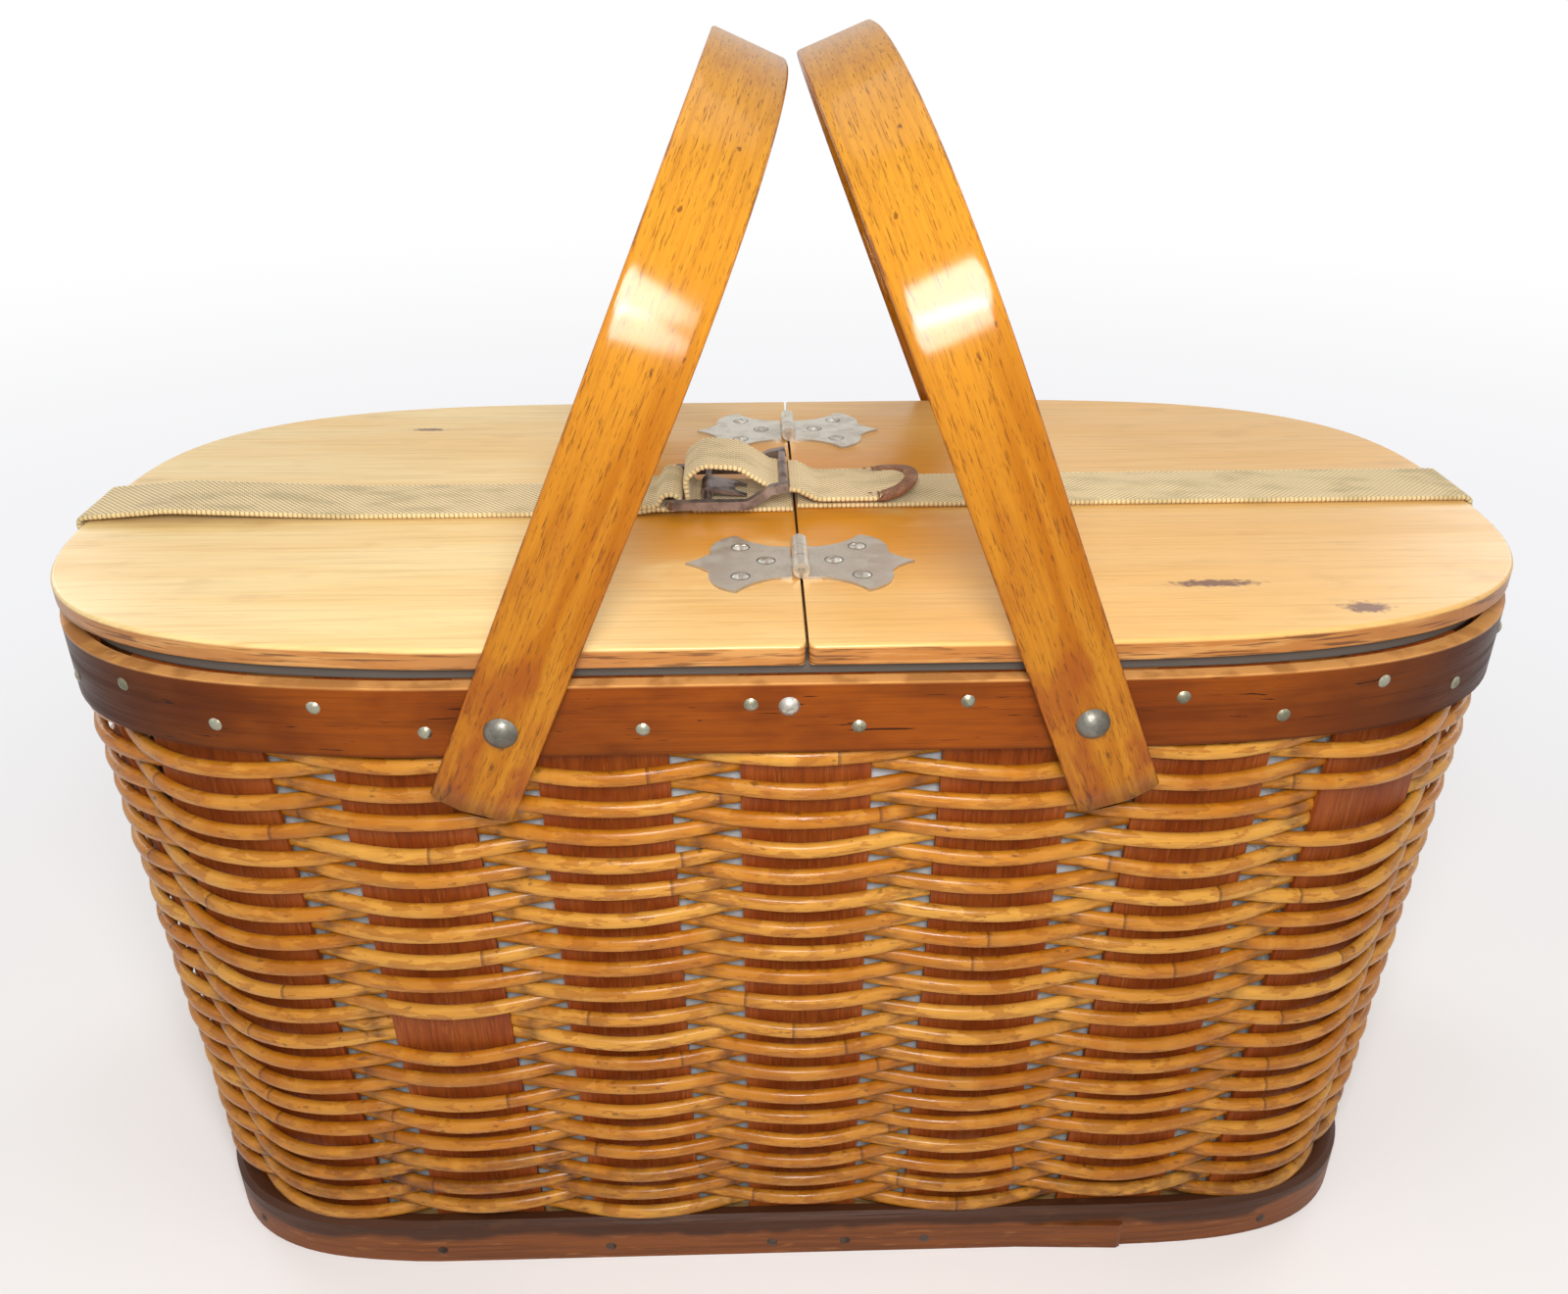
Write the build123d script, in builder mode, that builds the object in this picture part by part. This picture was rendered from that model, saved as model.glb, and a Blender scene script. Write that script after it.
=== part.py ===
from build123d import *
from math import asin, atan, copysign, cos, degrees, hypot, radians, sin
import os

os.makedirs("parts", exist_ok=True)

# Lids: two boards that share one long outline with rounded ends
lid_top_height = 281.0
lid_thickness = 7.0
lid_length = 508.0
lid_width = 238.0
lid_end_length = 190.0
lid_end_power = 3.05
lid_edge_radius = 1.4
lid_corner_radius = 3.0
split_x = 3.0
split_gap = 1.0
lid_rest_gap = 0.3

# Rim: an outer band and an inner hoop that grip the tops of the stakes
rim_length = 502.6
rim_width = 242.0
rim_end_length = 174.5
rim_end_power = 3.18
rim_band_height = 24.5
rim_band_thickness = 4.6
rim_band_drop = 11.6
hoop_thickness = 4.5
hoop_height = 25.5

# Base: a bent band with one lap, nailed to the bottom board
base_length = 477.0
base_width = 219.0
base_end_length = 137.5
base_end_power = 3.9
base_band_height = 21.0
base_band_thickness = 5.5
base_band_chamfer = 2.2
base_lap_length = 52.0
base_lap_end_x = 131.0
base_lap_thickness = 1.6
base_lap_height = 13.0
board_thickness = 9.0
board_lift = 2.0

# Woven wall: upright stakes between an outer and an inner layer of reed rows
stake_count = 20
stake_width = 41.6
stake_thickness = 2.0
reed_thickness = 5.0
layer_gap = 0.15

# Sheet-metal liner with a flange turned over the inner hoop
liner_thickness = 0.8
liner_wall_gap = 2.6
liner_lip_depth = 4.0

# Cross bar under the split between the lids
bar_width = 24.0
bar_thickness = 16.0
bar_x = -2.5
bar_screw_drop = 19.8
bar_screw_head_radius = 3.3
bar_screw_head_height = 1.8
bar_screw_shank_radius = 2.0
bar_screw_grip = 12.0

# Handles: bent strips that turn on rivets through the rim
pivot_x = 88.5
pivot_drop = 23.2
handle_width = 26.5
handle_thickness = 6.0
handle_height = 194.6
handle_straight = 96.0
handle_power = 2.33
handle_foot = 29.0
handle_foot_bulge = 2.5
handle_side_gap = 1.1
handle_edge_radius = 1.0
handles_meet_x = 2.4
handles_gap = 3.0

# Rivets and the washers that they are clenched on
rivet_head_radius = 5.2
rivet_head_height = 3.0
rivet_shank_radius = 3.0
running_gap = 0.05
head_gap = 0.3
washer_radius = 7.0
washer_thickness = 0.8
rivet_tail_radius = 4.4
rivet_tail_height = 1.0

# Tacks round the rim and nails round the base
tack_head_radius = 2.2
tack_head_height = 0.9
tack_shank_radius = 0.9
tack_length = 9.0
tack_high_drop = 7.4
tack_low_drop = 15.6
nail_head_radius = 2.1
nail_head_height = 0.5
nail_shank_radius = 1.0
nail_length = 16.0
nail_height = 6.5
front_nail_steps = (-2.25, -1.2, -0.19, 0.27, 0.77, 2.95)
back_nail_shift = 0.5

# Cross battens under each lid
batten_width = 22.0
batten_thickness = 4.5
batten_inner_x = 60.0
batten_outer_x = 180.0
batten_inner_length = 190.0
batten_outer_length = 150.0
batten_screw_radius = 1.5
batten_screw_head_radius = 2.8
batten_screw_spacing = 110.0

# Ornamental hinges on top of the lids
hinge_front_y = -60.6
hinge_back_y = 75.9
leaf_thickness = 1.0
leaf_length = 38.5
leaf_root = 12.4
leaf_wing_x = 21.4
leaf_wing_y = 22.3
leaf_notch_x = 30.2
leaf_notch_y = 7.8
barrel_radius = 2.75
barrel_length = 24.6
barrel_gap = 0.3
pin_radius = 1.2
pin_overhang = 0.5
leaf_screw_head_radius = 2.8
leaf_screw_head_height = 0.9
leaf_screw_shank_radius = 1.2
leaf_screw_length = 6.0
leaf_screw_places = ((20.0, 12.2), (11.4, 1.0), (20.0, -11.2))

# Webbing strap, its buckle and its leather pieces
strap_width = 30.6
strap_thickness = 2.0
strap_lift = 0.1
left_strap_y = -2.0
right_strap_y = 3.5
strap_arch = 3.0
strap_tab_length = 42.0
strap_end_gap = 0.4
buckle_y = -1.0
buckle_left_x = -42.0
buckle_right_x = -1.3
buckle_bar_height = 5.2
buckle_crank_height = 12.0
buckle_wire = 3.2
buckle_bar_radius = 1.45
buckle_inner_width = 34.0
buckle_corner = 2.2
tongue_bar_x = -29.0
tongue_bar_radius = 1.3
tongue_wall = 1.0
tongue_width = 13.0
tongue_reach = 14.5
tongue_tip_height = 3.7
tooth_width = 3.0
tooth_length = 4.5
loop_y = 0.4
loop_left_x = -35.5
loop_height = 18.0
loop_end_x = -2.8
tail_start_x = 2.2
tail_low_x = 11.0
tail_height = 4.7
tail_length = 46.0
tail_rise = 3.4
tip_length = 15.0
tip_thickness = 3.2
patch_length = 26.0
patch_width = 24.0
patch_thickness = 1.0

# Places worked out from the sizes above
lid_bottom = lid_top_height - lid_thickness
flange_top = lid_bottom - lid_rest_gap
hoop_top = flange_top - liner_thickness - layer_gap
hoop_bottom = hoop_top - hoop_height
rim_band_top = lid_top_height - rim_band_drop
rim_band_bottom = rim_band_top - rim_band_height
board_top = board_lift + board_thickness
stake_top = rim_band_top - 0.5
stake_bottom = board_lift
weave_bottom = base_band_height + layer_gap
weave_top = rim_band_bottom - layer_gap
hoop_inset = stake_thickness + layer_gap
hoop_inner_inset = hoop_inset + hoop_thickness
liner_inset = hoop_inner_inset + liner_wall_gap + layer_gap
liner_inner_inset = liner_inset + liner_thickness
pivot_height = lid_top_height - pivot_drop
bar_screw_height = lid_top_height - bar_screw_drop
bar_top = flange_top
hinge_axis_height = lid_top_height + barrel_radius + barrel_gap
stake_pitch_share = 1.0 / stake_count

# Shapes that several pieces share
end_steps = 16
drill_start = 3.0


def end_points(half_length, half_width, end_length, power):
    """Points of the right-hand end of an outline, from its front edge round to its back edge."""
    points = []
    for step in range(end_steps + 1):
        angle = radians(180.0 * step / end_steps - 90.0)
        along = abs(cos(angle)) ** (2.0 / power)
        across = abs(sin(angle)) ** (2.0 / power)
        x = half_length - end_length + end_length * along
        points.append((x, copysign(half_width * across, sin(angle))))
    return points


def lid_points(inset):
    return end_points(
        lid_length / 2 - inset, lid_width / 2 - inset, lid_end_length - inset, lid_end_power
    )


def rim_points(inset):
    return end_points(
        rim_length / 2 - inset, rim_width / 2 - inset, rim_end_length - inset, rim_end_power
    )


def base_points(inset):
    return end_points(
        base_length / 2 - inset, base_width / 2 - inset, base_end_length - inset, base_end_power
    )


def wall_share(z):
    """How far a height lies from the top of the base band to the top of the rim band."""
    return (z - base_band_height) / (rim_band_top - base_band_height)


def wall_points(z, inset):
    """Outline of the leaning wall at a height, measured inwards from the stakes' outer face."""
    low = base_points(base_band_thickness + layer_gap + inset)
    high = rim_points(rim_band_thickness + layer_gap + inset)
    share = wall_share(z)
    return [
        (a[0] + (b[0] - a[0]) * share, a[1] + (b[1] - a[1]) * share) for a, b in zip(low, high)
    ]


def wall_half_width(z, inset):
    return wall_points(z, inset)[-1][1]


def closed_outline(points):
    """Front edge, right end, back edge and left end."""
    left = [(-x, y) for x, y in reversed(points)]
    Line(left[-1], points[0])
    Spline(points, tangents=((1, 0), (-1, 0)))
    Line(points[-1], left[0])
    Spline(left, tangents=((-1, 0), (1, 0)))


def plan_face(points, z):
    """A closed outline as a flat face at a height."""
    with BuildSketch(Plane.XY.offset(z)) as plan:
        with BuildLine():
            closed_outline(points)
        make_face()
    return plan.sketch


def upright_ring(outer, inner, low, high):
    """A band with upright walls between two outlines."""
    with BuildPart(mode=Mode.PRIVATE) as ring:
        extrude(plan_face(outer, low), amount=high - low)
        extrude(plan_face(inner, low), amount=high - low, mode=Mode.SUBTRACT)
    return ring.part


def wall_ring(low, high, outer_inset, inner_inset):
    """A layer of the leaning wall between two insets."""
    with BuildPart(mode=Mode.PRIVATE) as ring:
        loft([plan_face(wall_points(z, outer_inset), z) for z in (low, high)], ruled=True)
        inner = [plan_face(wall_points(z, inner_inset), z) for z in (low, high)]
        loft(inner, ruled=True, mode=Mode.SUBTRACT)
    return ring.part


def stations(points, z, shares):
    """Planes on an outline that face outwards, at shares of its length from the split in front."""
    with BuildLine(mode=Mode.PRIVATE) as route:
        closed_outline(points)
    wire = Wire(route.edges())
    start = split_x + points[0][0]
    planes = []
    for share in shares:
        distance = (start + share * wire.length) % wire.length
        spot = wire.position_at(distance, position_mode=PositionMode.LENGTH)
        along = wire.tangent_at(distance, position_mode=PositionMode.LENGTH)
        outward = Vector(along.Y, -along.X, 0)
        planes.append(Plane(Vector(spot.X, spot.Y, z), x_dir=along, z_dir=outward))
    return planes


def domed_pin(head_radius, head_height, shank_radius, shank_length):
    """A domed head on a round shank, with the head standing on the XY plane."""
    ball = (head_radius**2 + head_height**2) / (2 * head_height)
    half_turn = asin(head_radius / ball) / 2
    middle = (ball * sin(half_turn), head_height - ball + ball * cos(half_turn))
    with BuildPart(mode=Mode.PRIVATE) as pin:
        with BuildSketch(Plane.XZ):
            with BuildLine():
                Polyline(
                    (0, head_height), (0, -shank_length), (shank_radius, -shank_length),
                    (shank_radius, 0), (head_radius, 0),
                )
                ThreePointArc((head_radius, 0), middle, (0, head_height))
            make_face()
        revolve(axis=Axis.Z)
    return pin.part


def slotted(pin, head_radius, head_height, turn):
    """The same pin with a screwdriver slot across its head."""
    with BuildPart(mode=Mode.PRIVATE) as screw:
        add(pin)
        with Locations(Location((0, 0, head_height), (0, 0, turn))):
            Box(3 * head_radius, 0.28 * head_radius, 0.9 * head_height, mode=Mode.SUBTRACT)
    return screw.part


def drill(planes, radius, depth):
    """Round holes that go in from each plane, and a little out of it."""
    for plane in planes:
        with Locations(plane.offset((drill_start - depth) / 2)):
            Cylinder(radius, drill_start + depth, mode=Mode.SUBTRACT)


def side_planes(x, z, half_width):
    """Planes on the front and back sides that face outwards."""
    return [
        Plane((x, -half_width, z), x_dir=(1, 0, 0), z_dir=(0, -1, 0)),
        Plane((x, half_width, z), x_dir=(-1, 0, 0), z_dir=(0, 1, 0)),
    ]


# Where the rivets, screws, tacks and nails go
rim_face = rim_width / 2
rivet_planes = side_planes(-pivot_x, pivot_height, rim_face)
rivet_planes += side_planes(pivot_x, pivot_height, rim_face)
bar_screw_planes = side_planes(bar_x, bar_screw_height, rim_face)
half_pitch = stake_pitch_share / 2
tack_planes = []
for index in range(2 * stake_count):
    drop = tack_low_drop if index % 2 == 0 else tack_high_drop
    place = stations(rim_points(0), rim_band_top - drop, [(index + 0.48) * half_pitch])
    under_handle = abs(abs(place[0].origin.X) - pivot_x) < handle_width / 2 + tack_head_radius
    if not under_handle:
        tack_planes += place
back_nail_steps = tuple(step + back_nail_shift for step in range(4, stake_count - 3))
nail_steps = front_nail_steps + back_nail_steps
nail_shares = [step * stake_pitch_share for step in nail_steps]
nail_planes = stations(base_points(0), nail_height, nail_shares)

# Bottom board
with BuildPart() as base_board:
    board_inset = base_band_thickness + stake_thickness + 3 * layer_gap
    board_inset += (base_width - rim_width) / 2 * wall_share(0) + 1.2
    extrude(plan_face(base_points(board_inset), board_lift), amount=board_thickness)
    drill(nail_planes, nail_shank_radius, nail_length)
base_board.part.label = "base_board"
export_step(base_board.part, "parts/base_board.step")

# Base band, bent round the foot of the wall and lapped over itself at the front
with BuildPart() as base_band:
    extrude(plan_face(base_points(0), 0), amount=base_band_height)
    chamfer(base_band.faces().sort_by(Axis.Z)[-1].edges(), base_band_chamfer)
    hollow = plan_face(base_points(base_band_thickness), 0)
    extrude(hollow, amount=base_band_height, mode=Mode.SUBTRACT)
    front = -base_width / 2
    with BuildSketch(Plane.XY):
        with BuildLine():
            Polyline(
                (base_lap_end_x - base_lap_length, front + 0.4),
                (base_lap_end_x, front + 0.4),
                (base_lap_end_x, front - base_lap_thickness / 2),
                (base_lap_end_x - base_lap_thickness, front - base_lap_thickness),
                close=True,
            )
        make_face()
    extrude(amount=base_lap_height)
    drill(nail_planes, nail_shank_radius, nail_length)
base_band.part.label = "base_band"
export_step(base_band.part, "parts/base_band.step")

# Nails through the base band into the edge of the board
base_nail = domed_pin(nail_head_radius, nail_head_height, nail_shank_radius, nail_length)
with BuildPart() as base_nails:
    for plane in nail_planes:
        add(base_nail.moved(plane.location))
base_nails.part.label = "base_nails"
export_step(base_nails.part, "parts/base_nails.step")

# Stakes: flat splints that stand round the wall, from the board up into the rim
stake_shares = [index * stake_pitch_share for index in range(stake_count)]
with BuildPart() as stakes:
    low_planes = stations(wall_points(stake_bottom, 0), stake_bottom, stake_shares)
    high_planes = stations(wall_points(stake_top, 0), stake_top, stake_shares)
    for low, high in zip(low_planes, high_planes):
        for plane in (low, high):
            with BuildSketch(Plane(plane.origin, x_dir=plane.x_dir, z_dir=(0, 0, 1))):
                Rectangle(stake_width, 12 * stake_thickness)
        loft(ruled=True)
    add(wall_ring(stake_bottom, stake_top, 0, stake_thickness), mode=Mode.INTERSECT)
    drill(rivet_planes, rivet_shank_radius + running_gap, 3 * washer_radius)
    drill(bar_screw_planes, bar_screw_shank_radius, 3 * washer_radius)
    drill(tack_planes, tack_shank_radius, 2 * tack_length)
    drill(nail_planes, nail_shank_radius, nail_length)
stakes.part.label = "stakes"
export_step(stakes.part, "parts/stakes.step")

# Woven wall outside the stakes
with BuildPart() as outer_weave:
    add(wall_ring(weave_bottom, weave_top, -reed_thickness, -layer_gap))
outer_weave.part.label = "outer_weave"
export_step(outer_weave.part, "parts/outer_weave.step")

# Woven wall inside the stakes
with BuildPart() as inner_weave:
    low = board_top + layer_gap
    high = hoop_bottom - layer_gap
    add(wall_ring(low, high, hoop_inset, hoop_inset + reed_thickness))
inner_weave.part.label = "inner_weave"
export_step(inner_weave.part, "parts/inner_weave.step")

# Outer rim band
with BuildPart() as outer_rim_band:
    inner_face = rim_points(rim_band_thickness)
    add(upright_ring(rim_points(0), inner_face, rim_band_bottom, rim_band_top))
    drill(rivet_planes, rivet_shank_radius + running_gap, 3 * washer_radius)
    drill(bar_screw_planes, bar_screw_shank_radius, 3 * washer_radius)
    drill(tack_planes, tack_shank_radius, tack_length)
outer_rim_band.part.label = "outer_rim_band"
export_step(outer_rim_band.part, "parts/outer_rim_band.step")

# Inner rim hoop
with BuildPart() as inner_rim_hoop:
    add(wall_ring(hoop_bottom, hoop_top, hoop_inset, hoop_inner_inset))
    drill(rivet_planes, rivet_shank_radius + running_gap, 3 * washer_radius)
    drill(bar_screw_planes, bar_screw_shank_radius, 3 * washer_radius)
    drill(tack_planes, tack_shank_radius, tack_length)
inner_rim_hoop.part.label = "inner_rim_hoop"
export_step(inner_rim_hoop.part, "parts/inner_rim_hoop.step")

# Tacks through the rim band
rim_tack = domed_pin(tack_head_radius, tack_head_height, tack_shank_radius, tack_length)
with BuildPart() as rim_tacks:
    for plane in tack_planes:
        add(rim_tack.moved(plane.location))
rim_tacks.part.label = "rim_tacks"
export_step(rim_tacks.part, "parts/rim_tacks.step")

# Liner: a tub of sheet metal, with a flange and a lip over the inner hoop
with BuildPart() as liner:
    liner_bottom = board_top + layer_gap
    floor_top = liner_bottom + liner_thickness
    skin = [plan_face(wall_points(z, liner_inset), z) for z in (liner_bottom, flange_top)]
    loft(skin, ruled=True)
    inside = [plan_face(wall_points(z, liner_inner_inset), z) for z in (floor_top, flange_top)]
    loft(inside, ruled=True, mode=Mode.SUBTRACT)
    lip_outer = wall_points(flange_top, hoop_inset - layer_gap - liner_thickness)
    lip_inner = wall_points(flange_top, hoop_inset - layer_gap)
    flange_inner = wall_points(flange_top, liner_inner_inset)
    add(upright_ring(lip_outer, flange_inner, flange_top - liner_thickness, flange_top))
    add(upright_ring(lip_outer, lip_inner, flange_top - liner_lip_depth, flange_top))
    drill(bar_screw_planes, bar_screw_shank_radius, 3 * washer_radius)
liner.part.label = "liner"
export_step(liner.part, "parts/liner.step")

# Cross bar between the two sides of the liner
bar_half_length = wall_half_width(bar_top - bar_thickness, liner_inner_inset) - layer_gap
with BuildPart() as cross_bar:
    with Locations((bar_x, 0, bar_top - bar_thickness / 2)):
        Box(bar_width, 2 * bar_half_length, bar_thickness)
    chamfer(cross_bar.edges().filter_by(Axis.Y), 1.0)
    screw_reach = rim_face - bar_half_length + bar_screw_grip
    drill(bar_screw_planes, bar_screw_shank_radius, screw_reach)
cross_bar.part.label = "cross_bar"
export_step(cross_bar.part, "parts/cross_bar.step")

# Screws that hold the cross bar, front and back
bar_screw = domed_pin(
    bar_screw_head_radius, bar_screw_head_height, bar_screw_shank_radius, screw_reach
)
bar_screw = slotted(bar_screw, bar_screw_head_radius, bar_screw_head_height, 25)
with BuildPart() as cross_bar_screws:
    for plane in bar_screw_planes:
        add(bar_screw.moved(plane.location))
cross_bar_screws.part.label = "cross_bar_screws"
export_step(cross_bar_screws.part, "parts/cross_bar_screws.step")

# Handle rivets, through the handle's foot, the rim band and the inner hoop
foot_face = rim_face + handle_side_gap + handle_thickness
hoop_face = wall_half_width(pivot_height - washer_radius, hoop_inner_inset) - running_gap
rivet_grip = foot_face + head_gap - hoop_face + washer_thickness
rivet = domed_pin(rivet_head_radius, rivet_head_height, rivet_shank_radius, rivet_grip)
with BuildPart() as handle_rivets:
    for plane in rivet_planes:
        head_plane = plane.offset(foot_face + head_gap - rim_face)
        add(rivet.moved(head_plane.location))
        tail_place = head_plane.offset(-rivet_grip - rivet_tail_height / 2)
        with Locations(tail_place):
            Cylinder(rivet_tail_radius, rivet_tail_height)
handle_rivets.part.label = "handle_rivets"
export_step(handle_rivets.part, "parts/handle_rivets.step")

# Washers under the clenched ends of the rivets
with BuildPart() as rivet_washers:
    for plane in rivet_planes:
        middle_plane = plane.offset(hoop_face - rim_face - washer_thickness / 2)
        with Locations(middle_plane):
            Cylinder(washer_radius, washer_thickness)
            Cylinder(rivet_shank_radius + running_gap, washer_thickness, mode=Mode.SUBTRACT)
rivet_washers.part.label = "rivet_washers"
export_step(rivet_washers.part, "parts/rivet_washers.step")


def bow_outline(half_width, height):
    """Two straight legs under a round bow, drawn from the pivots up."""
    bow = [(half_width, -handle_foot - handle_foot_bulge)]
    arch = []
    for step in range(end_steps + 1):
        angle = radians(180.0 * step / end_steps)
        across = abs(cos(angle)) ** (2.0 / handle_power)
        rise = abs(sin(angle)) ** (2.0 / handle_power)
        x = copysign(half_width * across, cos(angle))
        arch.append((x, handle_straight + (height - handle_straight) * rise))
    Line(bow[0], arch[0])
    Spline(arch, tangents=((0, 1), (0, -1)))
    Line(arch[-1], (-half_width, bow[0][1]))
    Line((-half_width, bow[0][1]), bow[0])


def handle(side, meet_x):
    """One handle, leaning towards the other one until they nearly touch."""
    reach = pivot_x + side * meet_x - handles_gap / 2
    lean = asin(reach / hypot(handle_height, handle_width / 2))
    lean -= atan(handle_width / 2 / handle_height)
    up = Vector(side * sin(lean), 0, cos(lean))
    normal = Vector(0, 1, 0).cross(up)
    plane = Plane((-side * pivot_x, 0, pivot_height), x_dir=(0, 1, 0), z_dir=normal)
    outer_half = rim_face + handle_side_gap + handle_thickness
    with BuildPart() as strip:
        with BuildSketch(plane):
            with BuildLine():
                bow_outline(outer_half, handle_height)
            make_face()
        extrude(amount=handle_width / 2, both=True)
        with BuildSketch(plane):
            with BuildLine():
                bow_outline(outer_half - handle_thickness, handle_height - handle_thickness)
            make_face()
        extrude(amount=handle_width, both=True, mode=Mode.SUBTRACT)
        face_plane = Plane(plane.origin, x_dir=normal, z_dir=normal.cross(up))
        half = handle_width / 2
        with BuildSketch(face_plane):
            with BuildLine():
                ThreePointArc(
                    (-half, -handle_foot), (0, -handle_foot - handle_foot_bulge), (half, -handle_foot)
                )
                Polyline(
                    (half, -handle_foot), (half, handle_height + 1), (-half, handle_height + 1),
                    (-half, -handle_foot),
                )
            make_face()
        extrude(amount=2 * outer_half, both=True, mode=Mode.INTERSECT)
        hole_planes = side_planes(-side * pivot_x, pivot_height, outer_half)
        drill(hole_planes, rivet_shank_radius + running_gap, 2 * handle_thickness)
    return strip.part


# Left and right handles
left_handle = handle(1, handles_meet_x)
left_handle.label = "left_handle"
export_step(left_handle, "parts/left_handle.step")
right_handle = handle(-1, handles_meet_x)
right_handle.label = "right_handle"
export_step(right_handle, "parts/right_handle.step")


def leaf_screw_planes(side):
    """Planes on top of the leaves of one side, at the screws of both hinges."""
    planes = []
    for hinge_y in (hinge_front_y, hinge_back_y):
        for x, y in leaf_screw_places:
            planes.append(Plane((split_x + side * x, hinge_y + y, lid_top_height + leaf_thickness)))
    return planes


def batten_places(side):
    """Centres and lengths of the two battens of one side."""
    return (
        (split_x + side * batten_inner_x, batten_inner_length),
        (split_x + side * batten_outer_x, batten_outer_length),
    )


def batten_screw_planes(side):
    """Planes on the underside of the battens that face down."""
    planes = []
    for x, length in batten_places(side):
        for y in (-batten_screw_spacing / 2, batten_screw_spacing / 2):
            spot = (x, y, lid_bottom - batten_thickness)
            planes.append(Plane(spot, x_dir=(1, 0, 0), z_dir=(0, 0, -1)))
    return planes


def lid_board(side):
    """One lid board, cut from the shared outline at the split."""
    with BuildPart() as board:
        extrude(plan_face(lid_points(0), lid_bottom), amount=lid_thickness)
        fillet(board.faces().sort_by(Axis.Z)[-1].edges(), lid_edge_radius)
        fillet(board.faces().sort_by(Axis.Z)[0].edges(), lid_edge_radius / 2)
        cut_plane = Plane.YZ.offset(split_x + side * split_gap / 2)
        split(bisect_by=cut_plane, keep=Keep.TOP if side > 0 else Keep.BOTTOM)
        edge_x = split_x + side * split_gap / 2
        for edge_y in (-lid_width / 2, lid_width / 2):
            inward = lid_corner_radius - 0.05
            with BuildSketch(Plane.XY.offset(lid_bottom - 1)) as corner:
                with Locations((edge_x, edge_y)):
                    Rectangle(2 * inward, 2 * inward)
                with Locations((edge_x + side * inward, edge_y - copysign(inward, edge_y))):
                    Circle(lid_corner_radius, mode=Mode.SUBTRACT)
            extrude(corner.sketch, amount=lid_thickness + 2, mode=Mode.SUBTRACT)
        drill(leaf_screw_planes(side), leaf_screw_shank_radius, leaf_screw_length)
        drill(batten_screw_planes(side), batten_screw_radius, batten_thickness + 4)
    return board.part


def lid_battens(side):
    """The two battens under one lid, with countersunk screw holes."""
    with BuildPart() as battens:
        for x, length in batten_places(side):
            with Locations((x, 0, lid_bottom - batten_thickness / 2)):
                Box(batten_width, length, batten_thickness)
        chamfer(battens.faces().sort_by(Axis.Z)[:2].edges().filter_by(Axis.Y), 1.0)
        for plane in batten_screw_planes(side):
            with Locations(plane):
                CounterSinkHole(batten_screw_radius, batten_screw_head_radius, batten_thickness, 90)
    return battens.part


def batten_screws(side):
    """Countersunk screws, flush with the underside of the battens."""
    with BuildPart() as screws:
        for plane in batten_screw_planes(side):
            sink = batten_screw_head_radius - batten_screw_radius
            with Locations(plane.offset(-sink / 2)):
                Cone(batten_screw_radius, batten_screw_head_radius, sink)
            with Locations(plane.offset(-(batten_thickness + 4) / 2)):
                Cylinder(batten_screw_radius, batten_thickness + 4)
    return screws.part


def hinge_leaf(side, hinge_y, own_spans):
    """A leaf cut to an ornamental outline, with its share of the barrel's knuckles."""
    axis_place = (split_x, hinge_y, hinge_axis_height)
    top = Plane((split_x, hinge_y, lid_top_height), x_dir=(side, 0, 0), z_dir=(0, 0, side))
    clear = barrel_radius + barrel_gap
    with BuildPart() as leaf:
        with BuildSketch(top):
            with BuildLine():
                Line((clear, 0), (clear, leaf_root))
                Line((clear, leaf_root), (clear + 3.5, leaf_root))
                ThreePointArc(
                    (clear + 3.5, leaf_root),
                    (leaf_wing_x - 6.6, leaf_root + 3.2),
                    (leaf_wing_x, leaf_wing_y),
                )
                ThreePointArc(
                    (leaf_wing_x, leaf_wing_y),
                    (leaf_notch_x - 1.6, (leaf_wing_y + leaf_notch_y) / 2 + 1.6),
                    (leaf_notch_x, leaf_notch_y),
                )
                ThreePointArc(
                    (leaf_notch_x, leaf_notch_y),
                    ((leaf_notch_x + leaf_length) / 2 - 0.5, leaf_notch_y / 2 - 0.7),
                    (leaf_length, 0),
                )
                Line((leaf_length, 0), (clear, 0))
            make_face()
            mirror(about=Plane.XZ)
        extrude(amount=side * leaf_thickness)
        for low, high in own_spans:
            middle = (low + high) / 2
            with Locations(Location((split_x, hinge_y + middle, hinge_axis_height), (90, 0, 0))):
                Cylinder(barrel_radius, high - low)
            root_place = (
                split_x + side * (clear + 0.4) / 2, hinge_y + middle, lid_top_height + leaf_thickness / 2
            )
            with Locations(root_place):
                Box(clear + 0.4, high - low, leaf_thickness)
        with Locations(Location(axis_place, (90, 0, 0))):
            Cylinder(pin_radius + running_gap, barrel_length + 2, mode=Mode.SUBTRACT)
        hole_planes = [p for p in leaf_screw_planes(side) if abs(p.origin.Y - hinge_y) < leaf_wing_y]
        drill(hole_planes, leaf_screw_shank_radius, 2 * leaf_thickness)
    return leaf.part


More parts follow.
